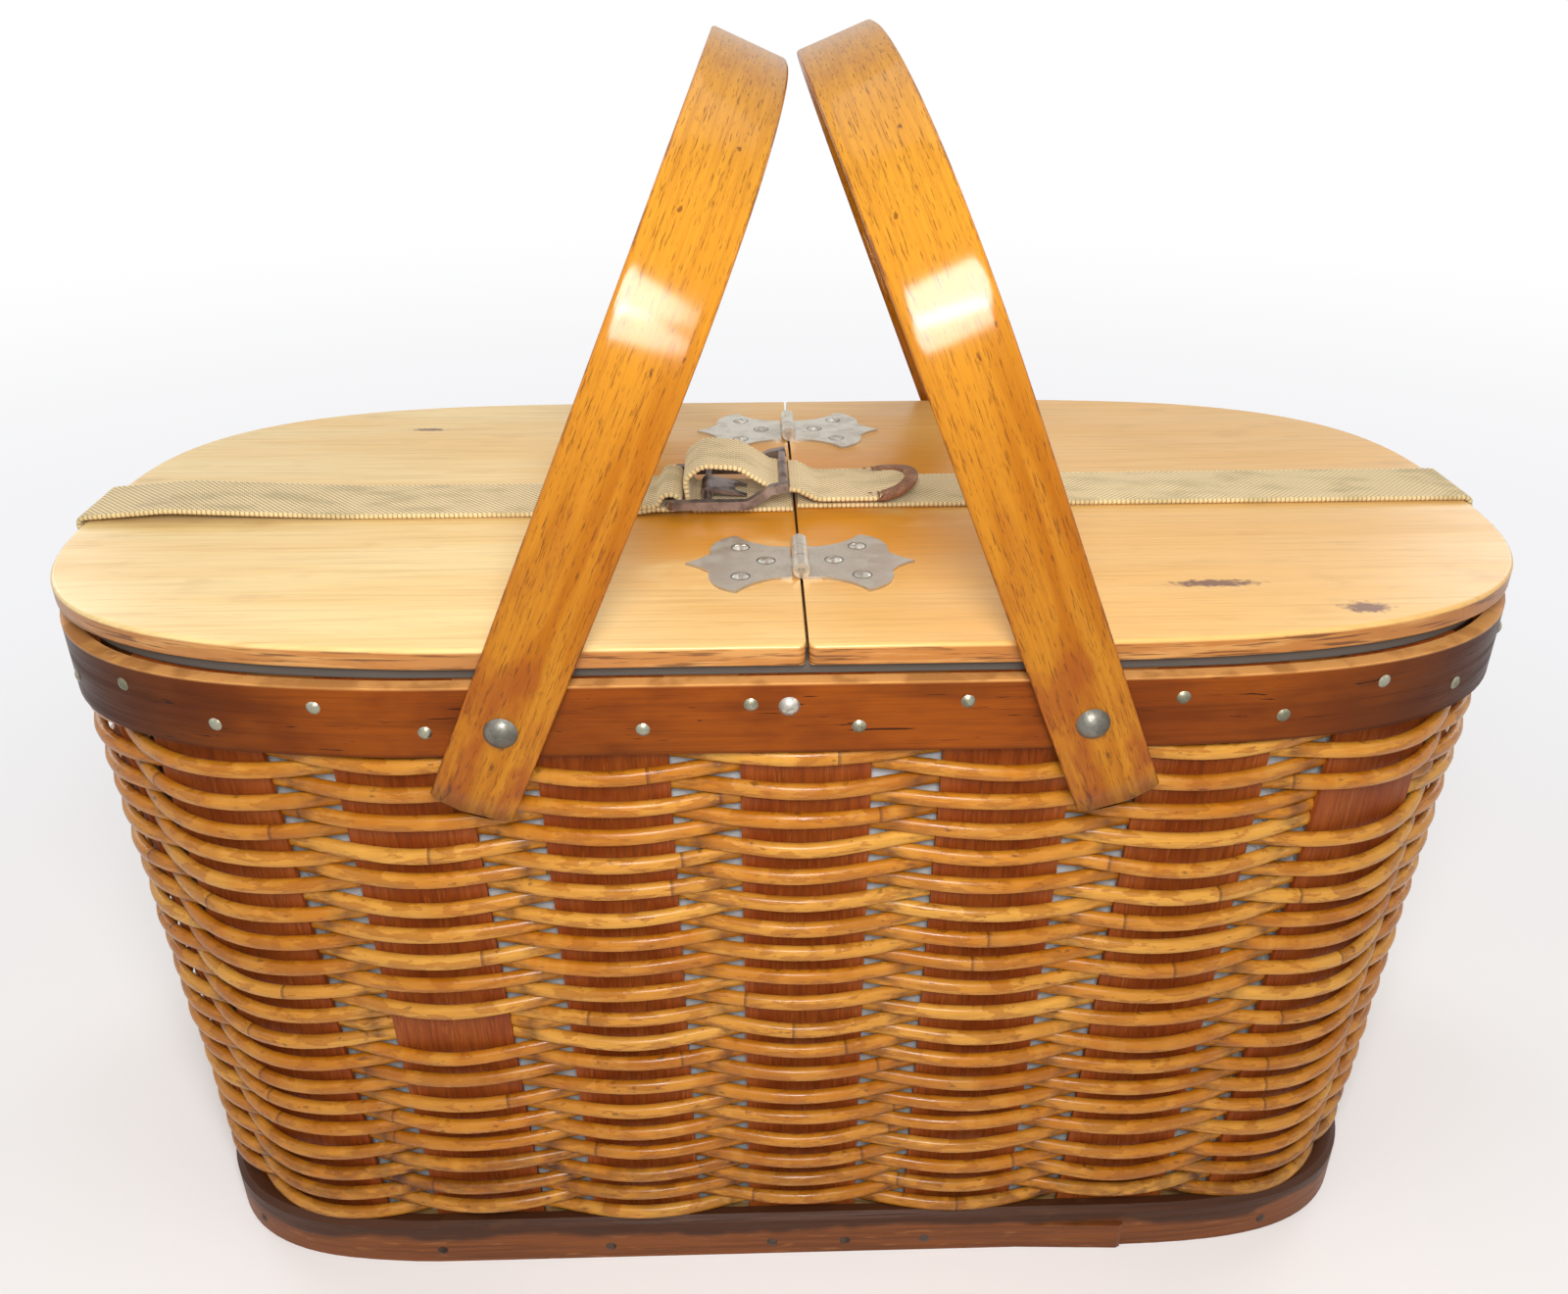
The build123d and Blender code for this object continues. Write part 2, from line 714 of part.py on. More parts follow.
# Pieces of the two lids, made side by side
third = barrel_length / 3
middle_span = ((-third / 2, third / 2),)
outer_spans = (
    (-barrel_length / 2, -third / 2 - barrel_gap), (third / 2 + barrel_gap, barrel_length / 2),
)
leaf_screw = domed_pin(
    leaf_screw_head_radius, leaf_screw_head_height, leaf_screw_shank_radius, leaf_screw_length
)
for name, side, own_spans in (("left", -1, middle_span), ("right", 1, outer_spans)):
    board = lid_board(side)
    board.label = name + "_lid_board"
    export_step(board, "parts/" + name + "_lid_board.step")
    battens = lid_battens(side)
    battens.label = name + "_lid_battens"
    export_step(battens, "parts/" + name + "_lid_battens.step")
    screws = batten_screws(side)
    screws.label = name + "_batten_screws"
    export_step(screws, "parts/" + name + "_batten_screws.step")
    for place, hinge_y in (("front", hinge_front_y), ("back", hinge_back_y)):
        leaf = hinge_leaf(side, hinge_y, own_spans)
        leaf.label = place + "_hinge_" + name + "_leaf"
        export_step(leaf, "parts/" + leaf.label + ".step")
    with BuildPart() as hinge_screws:
        for index, plane in enumerate(leaf_screw_planes(side)):
            turned = slotted(leaf_screw, leaf_screw_head_radius, leaf_screw_head_height, 40 * index)
            add(turned.moved(plane.location))
    hinge_screws.part.label = name + "_hinge_screws"
    export_step(hinge_screws.part, "parts/" + name + "_hinge_screws.step")

# Hinge pins
with BuildPart() as hinge_pins:
    for hinge_y in (hinge_front_y, hinge_back_y):
        with Locations(Location((split_x, hinge_y, hinge_axis_height), (90, 0, 0))):
            Cylinder(pin_radius, barrel_length + 2 * pin_overhang)
hinge_pins.part.label = "hinge_pins"
export_step(hinge_pins.part, "parts/hinge_pins.step")


def above_lid(*points):
    """Points given as a place along the basket and a height above the lids."""
    return [(x, lid_top_height + height) for x, height in points]


def webbing(points, radii, y, width, thickness):
    """A strip that follows a side-view route and runs across at a constant width."""
    with BuildSketch(Plane.XZ.offset(-y)) as side_view:
        with BuildLine() as route:
            FilletPolyline(*above_lid(*points), radius=radii)
        trace(route.line, line_width=thickness)
    extrude(side_view.sketch, amount=width / 2, both=True)


# Strap half that lies on the left lid, with an eye round the buckle's left bar
flat_height = strap_thickness / 2 + strap_lift
tab_x = lid_length / 2 + strap_end_gap + strap_thickness / 2
eye_radius = buckle_wire / 2 + 0.2
with BuildPart() as strap_left:
    webbing(
        (
            (-tab_x, -strap_tab_length), (-tab_x, flat_height + 0.6), (-tab_x + 32, flat_height + strap_arch),
            (-tab_x + 95, flat_height), (buckle_left_x - 12, flat_height),
            (buckle_left_x - 5, buckle_bar_height - eye_radius - strap_thickness / 2),
            (buckle_left_x, buckle_bar_height - eye_radius - strap_thickness / 2),
        ),
        (2.6, 60, 200, 14, 10), left_strap_y, strap_width, strap_thickness,
    )
    with Locations(Location((buckle_left_x, left_strap_y, lid_top_height + buckle_bar_height), (90, 0, 0))):
        Cylinder(eye_radius + strap_thickness, strap_width)
        Cylinder(eye_radius, strap_width, mode=Mode.SUBTRACT)
strap_left.part.label = "strap_left"
export_step(strap_left.part, "parts/strap_left.step")

# Strap half that lies on the right lid
with BuildPart() as strap_right:
    webbing(
        (
            (split_x + split_gap, flat_height), (tab_x, flat_height), (tab_x, -strap_tab_length),
        ),
        (2.6,), right_strap_y, strap_width, strap_thickness,
    )
strap_right.part.label = "strap_right"
export_step(strap_right.part, "parts/strap_right.step")

# Raised loop of the strap, up through the buckle and back down under its right bar
under_bar = buckle_crank_height - buckle_wire / 2 - strap_thickness / 2 - 0.4
with BuildPart() as strap_loop:
    webbing(
        (
            (split_x - split_gap, flat_height), (loop_left_x, flat_height),
            (loop_left_x - 1.5, loop_height - 5), (loop_left_x + 5, loop_height),
            (loop_left_x + 18, loop_height - 1), (loop_end_x - 3, under_bar + 0.5),
            (loop_end_x, under_bar),
        ),
        (2.4, 4.5, 7, 9, 6), loop_y, strap_width, strap_thickness,
    )
strap_loop.part.label = "strap_loop"
export_step(strap_loop.part, "parts/strap_loop.step")

# Tail of the strap, lying back over the right lid
tail_end = split_x + tail_length
tail_route = (
    (tail_start_x, under_bar), (split_x + 1, under_bar - 0.6), (tail_low_x, tail_height),
    (tail_end - 16, tail_height), (tail_end, tail_height + tail_rise),
)
with BuildPart() as strap_tail:
    webbing(tail_route, (4, 8, 26), loop_y, strap_width, strap_thickness)
    with Locations((tail_end, loop_y, lid_top_height + tail_height)):
        Box(tip_length, 2 * strap_width, 8 * tip_thickness, mode=Mode.SUBTRACT)
strap_tail.part.label = "strap_tail"
export_step(strap_tail.part, "parts/strap_tail.step")

# Leather tip sewn round the end of the tail
with BuildPart() as strap_tip:
    webbing(tail_route, (4, 8, 26), loop_y, strap_width, tip_thickness)
    tip_radius = strap_width / 2
    with BuildSketch(Plane.XY.offset(lid_top_height)) as tip_plan:
        with Locations((tail_end - tip_radius, loop_y)):
            Circle(tip_radius)
        with Locations((tail_end, loop_y)):
            Rectangle(
                2 * tip_length, 2 * strap_width, align=(Align.CENTER, Align.CENTER),
                mode=Mode.INTERSECT,
            )
    extrude(tip_plan.sketch, amount=10 * tip_thickness, mode=Mode.INTERSECT)
    add(strap_tail.part, mode=Mode.SUBTRACT)
strap_tip.part.label = "strap_tip"
export_step(strap_tip.part, "parts/strap_tip.step")

# Leather patch on the strap under its tail
with BuildPart() as strap_patch:
    patch_bottom = lid_top_height + strap_lift + strap_thickness + 0.05
    with Locations((split_x + 3, right_strap_y, patch_bottom)):
        Box(
            patch_length, patch_width, patch_thickness,
            align=(Align.MIN, Align.CENTER, Align.MIN),
        )
    fillet(strap_patch.edges().filter_by(Axis.Z).sort_by(Axis.X)[-2:], 6)
strap_patch.part.label = "strap_patch"
export_step(strap_patch.part, "parts/strap_patch.step")

# Buckle frame: two cranked side rails, two end bars and the bar that the tongue turns on
rail_route = (
    (buckle_left_x - buckle_wire / 2, buckle_bar_height), (-14, buckle_bar_height),
    (buckle_right_x - 4.5, buckle_crank_height - 1.2),
    (buckle_right_x + buckle_wire / 2, buckle_crank_height),
)
rail_offset = buckle_inner_width / 2 + buckle_wire / 2
with BuildPart() as buckle_frame:
    for y in (buckle_y - rail_offset, buckle_y + rail_offset):
        webbing(rail_route, (6, 3), y, buckle_wire, buckle_wire)
    outer_edges = buckle_frame.edges().filter_by(Axis.Z).sort_by(Axis.X)[:4].sort_by(Axis.Y)
    chamfer([outer_edges[0], outer_edges[-1]], buckle_corner)
    for x, height, radius in (
        (buckle_left_x, buckle_bar_height, buckle_bar_radius),
        (buckle_right_x, buckle_crank_height, buckle_bar_radius),
        (tongue_bar_x, buckle_bar_height, tongue_bar_radius),
    ):
        with Locations(Location((x, buckle_y, lid_top_height + height), (90, 0, 0))):
            Cylinder(radius, buckle_inner_width + buckle_wire)
buckle_frame.part.label = "buckle_frame"
export_step(buckle_frame.part, "parts/buckle_frame.step")

# Buckle tongue: a sleeve on the middle bar with two teeth that bite the webbing
with BuildPart() as buckle_tongue:
    sleeve_radius = tongue_bar_radius + running_gap + tongue_wall
    tip_x = tongue_bar_x + tongue_reach
    with BuildSketch(Plane.XZ.offset(-buckle_y)):
        with BuildLine():
            Polyline(
                *above_lid(
                    (tongue_bar_x, buckle_bar_height + sleeve_radius - 0.2),
                    (tip_x - tooth_length, tongue_tip_height + 1.6), (tip_x, tongue_tip_height),
                    (tip_x - tooth_length, tongue_tip_height + 0.3),
                    (tongue_bar_x, buckle_bar_height),
                ),
                close=True,
            )
        make_face()
    extrude(amount=tongue_width / 2, both=True)
    with Locations((tip_x - tooth_length, buckle_y, lid_top_height + tongue_tip_height)):
        Box(
            2 * tooth_length, tongue_width - 2 * tooth_width, 6 * tongue_wall,
            align=(Align.MIN, Align.CENTER, Align.CENTER), mode=Mode.SUBTRACT,
        )
    with Locations(Location((tongue_bar_x, buckle_y, lid_top_height + buckle_bar_height), (90, 0, 0))):
        Cylinder(sleeve_radius, tongue_width)
        Cylinder(tongue_bar_radius + running_gap, tongue_width + 1, mode=Mode.SUBTRACT)
buckle_tongue.part.label = "buckle_tongue"
export_step(buckle_tongue.part, "parts/buckle_tongue.step")
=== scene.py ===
import math
import random

import bmesh
import bpy
from bpy.props import FloatProperty, FloatVectorProperty, IntProperty, PointerProperty
from mathutils import Matrix, Vector, noise


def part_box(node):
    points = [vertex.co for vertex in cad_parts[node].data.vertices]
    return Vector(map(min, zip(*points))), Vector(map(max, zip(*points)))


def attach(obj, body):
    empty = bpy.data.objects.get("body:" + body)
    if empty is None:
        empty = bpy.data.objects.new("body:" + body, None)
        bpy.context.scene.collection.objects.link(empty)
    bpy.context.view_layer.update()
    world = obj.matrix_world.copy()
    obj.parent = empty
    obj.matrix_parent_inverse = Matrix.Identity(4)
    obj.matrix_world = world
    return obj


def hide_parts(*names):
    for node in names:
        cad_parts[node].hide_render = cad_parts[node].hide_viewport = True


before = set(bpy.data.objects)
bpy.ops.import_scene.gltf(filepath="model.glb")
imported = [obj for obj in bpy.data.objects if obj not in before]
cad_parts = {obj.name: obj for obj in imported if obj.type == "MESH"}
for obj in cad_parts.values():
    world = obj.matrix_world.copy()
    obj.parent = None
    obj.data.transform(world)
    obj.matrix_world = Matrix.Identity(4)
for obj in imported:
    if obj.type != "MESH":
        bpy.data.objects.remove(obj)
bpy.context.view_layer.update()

bl_info = {
    "name": "Picnic basket",
    "version": (1, 0, 0),
    "blender": (4, 5, 0),
    "location": "3D View > Sidebar > Basket",
    "description": "A woven picnic basket with hinged lids, bow handles and a buckled strap",
    "category": "Object",
}

MM = 0.001

# Outlines seen from above: half length, half width, length of a rounded end and its power
RIM_OUTLINE = (251.3 * MM, 121.0 * MM, 174.5 * MM, 3.18)
BASE_OUTLINE = (238.5 * MM, 109.5 * MM, 137.5 * MM, 3.9)
BASE_BAND_TOP = 21.0 * MM
RIM_BAND_TOP = 269.4 * MM
BASE_STAKE_INSET = 5.65 * MM
RIM_STAKE_INSET = 4.75 * MM
LID_TOP = 281.0 * MM
LID_BOTTOM = 274.0 * MM
SPLIT_X = 3.0 * MM
END_STEPS = 48
CORNER_STEPS = 3
STAKES = 20
# Rows where the reed runs behind a stake that it should pass in front of: (row, stake)
SKIPPED_STAKES = ((17, 18), (32, 3))

# Reeds: points on a row between two stakes, sides of a reed, and how far it strays from even rows
STAKE_STEPS = 20
REED_SIDES = 10
REED_MIDDLE = -1.1 * MM
ROW_DRIFT = 1.9 * MM
ROW_WOBBLE = 0.45 * MM

# Handles: the plane of each bow, and the outline of its strip
PIVOT_X = 88.5 * MM
PIVOT_Z = 257.8 * MM
BOW_HEIGHT = 194.6 * MM
BOW_STRAIGHT = 96.0 * MM
BOW_POWER = 2.33
BOW_HALF = 128.1 * MM
BOW_FOOT = 29.0 * MM
BOW_MEET_X = 2.4 * MM
BOW_GAP = 3.0 * MM
BOW_WIDTH = 26.5 * MM
BOW_THICKNESS = 6.0 * MM
BOW_CORNER = 1.1 * MM
BOW_FACE_STEPS = 8
BOW_FOOT_BULGE = 2.5 * MM
LEG_STEPS = 20
ARCH_STEPS = 72

# Strap, buckle and hinge places
BUCKLE_Y = -1.0 * MM
BUCKLE_BAR_HEIGHT = 5.2 * MM
# Heights of the webbing's middle above the lids, lying flat and under the buckle's raised end
ON_LID = 1.1 * MM
UNDER_CRANK = 9.0 * MM
HINGE_PLACES = (-60.6 * MM, 75.9 * MM)
SCREW_PLACES = ((20.0 * MM, 12.2 * MM), (11.4 * MM, 1.0 * MM), (20.0 * MM, -11.2 * MM))
STRAP_END_X = 255.4 * MM
STRAP_END_DROP = -42 * MM
TAIL_Y = 0.4 * MM
TIP_CENTRE_X = 33.7 * MM
TIP_RADIUS = 15.3 * MM
TIP_STITCHES = 13
# Each stitch's half length, half width and half height
STITCH = (0.85 * MM, 0.3 * MM, 0.25 * MM)
WEBBING_WIDTH = 30.6 * MM
WEBBING_THICKNESS = 2.0 * MM
WEBBING_CORNER = 0.95 * MM
WEBBING_FACE_STEPS = 60
# Real threads are nearer 1 mm; this is as coarse as they need to be to show
THREAD = 2.1 * MM
THREAD_RELIEF = 0.5 * MM
# The beads of thread along each edge: how long each is, and how wide their row
BEAD = 1.7 * MM
BEAD_ROW = 0.8 * MM

# Leather: the binding folded over the tail's tip, and the patch under the tail
BINDING_WIDTH = 5.0 * MM
BINDING_THICKNESS = 3.1 * MM
BINDING_CORNER = 1.1 * MM
BINDING_INSET = 2.1 * MM
BINDING_START_X = 33.9 * MM
TIP_CURL = 1.2 * MM
PATCH_LENGTH = 25.6 * MM
PATCH_WIDTH = 23.6 * MM
PATCH_THICKNESS = 0.9 * MM
PATCH_CORNER = 4 * MM
PATCH_EDGE = 0.25 * MM
PATCH_PLACE = (19 * MM, 3.5 * MM, LID_TOP + 2.62 * MM)
# Waves to a metre, and how high they and the lifted edge stand
PATCH_WAVES = 130
PATCH_WAVE = 0.11 * MM
PATCH_LIFT = 0.12 * MM
LEATHER_CREASE = 1.4286 * MM

# Wear: dark smears and a scratch on the lids, each with its centre, half sizes and turn, in mm
LID_SMEARS = (
    ((137, -80, 281), (17, 3.2, 6), 0.05), ((179, -99, 281), (9, 4.5, 6), 0.3),
    ((96, 62, 281), (12, 2, 6), 0.1), ((-150, 84, 281), (9, 2, 6), -0.1),
)
LID_SCRATCH = ((232, -34, 281), (24, 0.5, 6), -0.92)
MARK_RAGGEDNESS = 2.381 * MM
REED_JOINT = 187 * MM

# Old, dry finishes mirror less than fresh plastic, for which the default of 0.5 is right
OLD_FINISH = 0.2

# The camera's place, and its yaw, pitch and roll, fitted to the photograph's outlines
CAMERA_PLACE = (-13.4 * MM, -465.6 * MM, 464.1 * MM)
CAMERA_TURN = (-0.027, -0.487, -0.002)
SENSOR_WIDTH = 36.0
# The floor, with the distances over which its glow comes in and its tint turns plain white
FLOOR_HALF = 8.0
FLOOR_DROP = 0.2 * MM
FLOOR_FADE = (0.25, 0.8)
FLOOR_WHITE = (0.7, 2.2)
# Each lamp's place, target and size, and the setting with its power
LAMPS = {
    "key_lamp": ((0.004, -0.485, 0.6), (0, 0, 0.2), 0.17, "key"),
    "front_lamp": ((-0.01, -0.5, 0.5), (0, 0, 0.15), 0.12, "front"),
    "left_lamp": ((-1.3, -0.7, 1.1), (0, 0, 0.15), 0.9, "fill"),
    "right_lamp": ((1.3, -0.7, 1.1), (0, 0, 0.15), 0.9, "fill"),
    "top_lamp": ((0, 0.5, 1.6), (0, 0, 0.2), 1.2, "top"),
    "back_left_lamp": ((-1.3, 1.1, 0.9), (0, 0, 0.15), 0.9, "back"),
    "back_right_lamp": ((1.3, 1.1, 0.9), (0, 0, 0.15), 0.9, "back"),
}


# Settings


def linear(hex_code):
    """An sRGB hex colour as linear red, green and blue."""
    channels = [int(hex_code[i:i + 2], 16) / 255 for i in (1, 3, 5)]
    return tuple(c / 12.92 if c <= 0.04045 else ((c + 0.055) / 1.055) ** 2.4 for c in channels)


def colour_of(name, description, hex_code):
    """A colour that a user can change."""
    return FloatVectorProperty(
        name=name, description=description, subtype="COLOR", default=linear(hex_code))


def length_of(name, description, millimetres):
    """A length that a user can change."""
    return FloatProperty(
        name=name, description=description, default=millimetres * MM, unit="LENGTH")


def power_of(name, description, watts):
    """A lamp's power that a user can change."""
    return FloatProperty(name=name, description=description, default=watts, unit="POWER")


class WeaveSettings(bpy.types.PropertyGroup):
    """Sizes and colours of the woven wall."""
    rows: IntProperty(
        name="Rows", description="Rows of reed from base to rim", default=38, min=4, max=60)
    first_row: length_of("First row", "Height of the lowest reed", 24.2)
    row_pitch: length_of("Row pitch", "Height from one row to the next", 5.86)
    reed_height: length_of("Reed height", "Height of a reed's oval section", 5.5)
    reed_depth: length_of("Reed depth", "Depth of a reed's oval section", 4.3)
    bow_out: length_of("Bow out", "How far a reed swings in and out between stakes", 4.7)
    sag: length_of("Sag", "How far a reed drops over a stake", 0.55)
    reed: colour_of("Reed", "Golden reed", "#B87012")
    reed_light: colour_of("Pale reed", "Worn, pale reed", "#DCA648")
    # Also the colour of the painted shade where a reed turns behind a stake
    reed_dark: colour_of("Dark reed", "Grime and age marks on the reed", "#4A240C")
    stake: colour_of("Stake", "Red-brown splint", "#82390F")
    stake_dark: colour_of("Stake grain", "Dark grain of the splint", "#55240C")


class WoodSettings(bpy.types.PropertyGroup):
    """Colours of the boards, bands and handles."""
    lid_pale: colour_of("Pale lid", "Sun-bleached lid", "#EBCE90")
    lid_tan: colour_of("Tan lid", "Warmer parts of the lids", "#DFA95C")
    lid_amber: colour_of("Amber lid", "Old varnish near the split", "#CE8410")
    lid_edge: colour_of("Lid edge", "Worn edge of the lids", "#A25E22")
    handle: colour_of("Handle", "Amber lacquer", "#9C5900")
    handle_pale: colour_of("Pale handle", "Handle worn by hands", "#CE9026")
    handle_red: colour_of("Red handle", "Redder lacquer low on the handle", "#84380C")
    band: colour_of("Rim band", "Mahogany stain", "#74350A")
    band_dark: colour_of("Rim band streaks", "Dark streaks and cracks", "#341608")
    raw: colour_of("Raw wood", "Bare wood inside", "#C39A62")


class FittingSettings(bpy.types.PropertyGroup):
    """Colours of the metal, webbing and leather."""
    hinge: colour_of("Hinge", "Tarnished plated steel", "#C8C1B4")
    tarnish: colour_of("Tarnish", "Brown tarnish on metal", "#7E7467")
    tack: colour_of("Tack", "Brassy tacks", "#A3A08C")
    buckle: colour_of("Buckle", "Dark bronzed steel", "#8A7A74")
    liner: colour_of("Liner", "Pale tinned sheet", "#FAFAFA")
    webbing: colour_of("Webbing", "Khaki cotton", "#EBD09A")
    webbing_dark: colour_of("Webbing gaps", "Shade between threads", "#5C492A")
    leather: colour_of("Leather", "Old brown leather", "#8A5F46")


class StageSettings(bpy.types.PropertyGroup):
    """The camera, the floor and the lamps."""
    lens: FloatProperty(
        name="Lens", description="Focal length in mm", default=30.375, min=8, max=200)
    key: power_of("Key lamp", "Power of the lamp over the camera", 2.2)
    front: power_of("Front lamp", "Power of the lamp beside the camera", 0.9)
    fill: power_of("Fill lamps", "Power of the lamps at the sides", 2.0)
    back: power_of("Back lamps", "Power of the lamps behind, at the sides", 6.0)
    top: power_of("Top lamp", "Power of the lamp above and behind", 3.6)
    sky: FloatProperty(
        name="Sky", description="Level of the light from all round", default=0.38, min=0, max=2)
    floor: colour_of("Floor", "Pale floor", "#FBF8F6")


# Outlines


def end_arc(half_length, half_width, end_length, power):
    """The right-hand end of an outline, from its front edge round to its back edge."""
    points = []
    for step in range(END_STEPS + 1):
        angle = math.radians(180.0 * step / END_STEPS - 90.0)
        along = abs(math.cos(angle)) ** (2 / power)
        across = math.copysign(abs(math.sin(angle)) ** (2 / power), math.sin(angle))
        points.append(Vector((
            half_length - end_length + end_length * along, half_width * across, 0)))
    return points


def inset_arc(outline, inset):
    """The right-hand end of an outline drawn this far inside it."""
    half_length, half_width, end_length, power = outline
    return end_arc(half_length - inset, half_width - inset, end_length - inset, power)


def wall_loop(z):
    """Outline of the stakes' outer face at a height, from the front right, against the clock."""
    share = (z - BASE_BAND_TOP) / (RIM_BAND_TOP - BASE_BAND_TOP)
    low = inset_arc(BASE_OUTLINE, BASE_STAKE_INSET)
    high = inset_arc(RIM_OUTLINE, RIM_STAKE_INSET)
    right = [a.lerp(b, share) for a, b in zip(low, high)]
    left = [Vector((-p.x, p.y, 0)) for p in reversed(right)]
    return [Vector((p.x, p.y, z)) for p in right + left]


def stations(loop, shares):
    """Points on an outline and their outward directions, at shares of its length from the split."""
    count = len(loop)
    ends = [0.0]
    for i in range(count):
        ends.append(ends[-1] + (loop[(i + 1) % count] - loop[i]).length)
    total = ends[-1]
    start = loop[0].x - SPLIT_X
    found = []
    segment = 0
    previous = -1.0
    for share in shares:
        distance = (share * total - start) % total
        if distance < previous:
            segment = 0
        previous = distance
        while ends[segment + 1] < distance:
            segment += 1
        a, b = loop[segment], loop[(segment + 1) % count]
        part = (distance - ends[segment]) / max(ends[segment + 1] - ends[segment], 1e-9)
        before = b - loop[segment - 1]
        after = loop[(segment + 2) % count] - a
        run = before.normalized().lerp(after.normalized(), part)
        found.append((a.lerp(b, part), Vector((run.y, -run.x, 0)).normalized()))
    return found, total


# Mesh helpers


def place_piece(name, mesh, body, slot, material, *nodes):
    """Links a finished mesh, gives it its material and body, and lets it stand for CAD nodes."""
    piece = bpy.data.objects.new(name, mesh)
    bpy.context.scene.collection.objects.link(piece)
    mesh.materials.clear()
    mesh.materials.append(material)
    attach(piece, body)
    if nodes:
        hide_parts(*nodes)
    return piece


def mesh_from(bm, name, smooth=True):
    """Closes a bmesh into a mesh with its faces turned outwards."""
    bmesh.ops.recalc_face_normals(bm, faces=bm.faces)
    for face in bm.faces:
        face.smooth = smooth
    mesh = bpy.data.meshes.new(name)
    bm.to_mesh(mesh)
    bm.free()
    return mesh


def flattened(value):
    """A cosine or sine bent so that a circle of them has flatter sides."""
    return math.copysign(abs(value) ** 0.82, value)


def poly_curve(name, dimensions, lines, cyclic, section=None):
    """A curve of straight runs through each line of points, with a section carried along it."""
    curve = bpy.data.curves.new(name, "CURVE")
    curve.dimensions = dimensions
    for line in lines:
        spline = curve.splines.new("POLY")
        spline.points.add(len(line) - 1)
        spline.points.foreach_set("co", [c for point in line for c in (*point, 1.0)])
        spline.use_cyclic_u = cyclic
    if section:
        curve.bevel_mode = "OBJECT"
        curve.bevel_object = section
    return bpy.data.objects.new(name, curve)


def skin_of(holder):
    """The mesh of a curve and its section. The curve itself is removed."""
    bpy.context.scene.collection.objects.link(holder)
    graph = bpy.context.evaluated_depsgraph_get()
    mesh = bpy.data.meshes.new_from_object(holder.evaluated_get(graph))
    bpy.data.objects.remove(holder)
    return mesh


def sweep(route, section, place):
    """Carries a section along a flat route. Each point keeps its place along and across it."""
    ring = poly_curve("section", "2D", [[(-b, a, 0) for a, b in section]], True)
    mesh = skin_of(poly_curve("route", "2D", [[(u, w, 0) for u, w in route]], False, ring))
    bpy.data.objects.remove(ring)
    if len(mesh.vertices) != len(route) * len(section):
        raise RuntimeError(f"{len(mesh.vertices)} points, not {len(route)} x {len(section)}")
    travelled = [0.0]
    for a, b in zip(route, route[1:]):
        travelled.append(travelled[-1] + math.dist(a, b))
    bm = bmesh.new()
    bm.from_mesh(mesh)
    bpy.data.meshes.remove(mesh)
    along, across, depth = (bm.verts.layers.float.new(n) for n in ("along", "across", "depth"))
    for index, vert in enumerate(bm.verts):
        n, k = divmod(index, len(section))
        vert[along] = travelled[n]
        vert[across], vert[depth] = section[k]
    bmesh.ops.transform(bm, matrix=place, verts=bm.verts)
    bmesh.ops.holes_fill(bm, edges=[e for e in bm.edges if e.is_boundary])
    bmesh.ops.recalc_face_normals(bm, faces=bm.faces)
    return bm


def rounded_section(width, thickness, radius, face_steps=1):
    """A rectangle with rounded corners, as points in order, with its wide faces in steps."""
    points = []
    half_a, half_b = width / 2 - radius, thickness / 2 - radius
    for corner, (sa, sb) in enumerate(((1, 1), (-1, 1), (-1, -1), (1, -1))):
        for step in range(CORNER_STEPS + 1):
            angle = math.pi / 2 * (corner + step / CORNER_STEPS)
            points.append((
                sa * half_a + radius * math.cos(angle), sb * half_b + radius * math.sin(angle)))
        for step in range(1, face_steps if corner % 2 == 0 else 1):
            share = 1 - 2 * step / face_steps
            points.append((sa * half_a * share, sb * (half_b + radius)))
    return points


def side_route(points, radii, step):
    """A side-view route with rounded corners, as evenly spaced places along and above the lids."""
    flat = [Vector((x, z)) for x, z in points]
    dense = [flat[0]]
    for i, radius in enumerate(radii):
        a, corner, b = flat[i], flat[i + 1], flat[i + 2]
        into, away = (a - corner).normalized(), (b - corner).normalized()
        opening = into.angle(away)
        reach = radius / math.tan(opening / 2)
        start, end = corner + into * reach, corner + away * reach
        middle = corner + (into + away).normalized() * (radius / math.sin(opening / 2))
        turn = math.pi - opening
        count = max(2, int(turn * radius / step) + 1)
        spin = math.copysign(turn / count, (start - middle).cross(end - middle))
        dense.append(start)
        spoke = start - middle
        for n in range(1, count):
            angle = spin * n
            dense.append(middle + Vector((
                spoke.x * math.cos(angle) - spoke.y * math.sin(angle),
                spoke.x * math.sin(angle) + spoke.y * math.cos(angle))))
        dense.append(end)
    dense.append(flat[-1])
    even = [dense[0]]
    for a, b in zip(dense, dense[1:]):
        length = (b - a).length
        count = max(1, round(length / step))
        if length < 1e-7:
            continue
        even += [a.lerp(b, n / count) for n in range(1, count + 1)]
    return [(p.x, p.y) for p in even]


def side_view(y):
    """Puts a side-view route on the lids at this place across them."""
    return Matrix(((1, 0, 0, 0), (0, 0, -1, y), (0, 1, 0, LID_TOP), (0, 0, 0, 1)))


# Material helpers


def add(tree, kind, inputs=None, **settings):
    """Adds a node with its settings and inputs. A node given as an input means its first output."""
    made = tree.nodes.new("ShaderNode" + kind)
    for name, value in settings.items():
        setattr(made, name, value)
    for key, value in (inputs or {}).items():
        if isinstance(value, bpy.types.Node):
            value = value.outputs[0]
        if isinstance(value, bpy.types.NodeSocket):
            tree.links.new(value, made.inputs[key])
        else:
            made.inputs[key].default_value = value
    return made


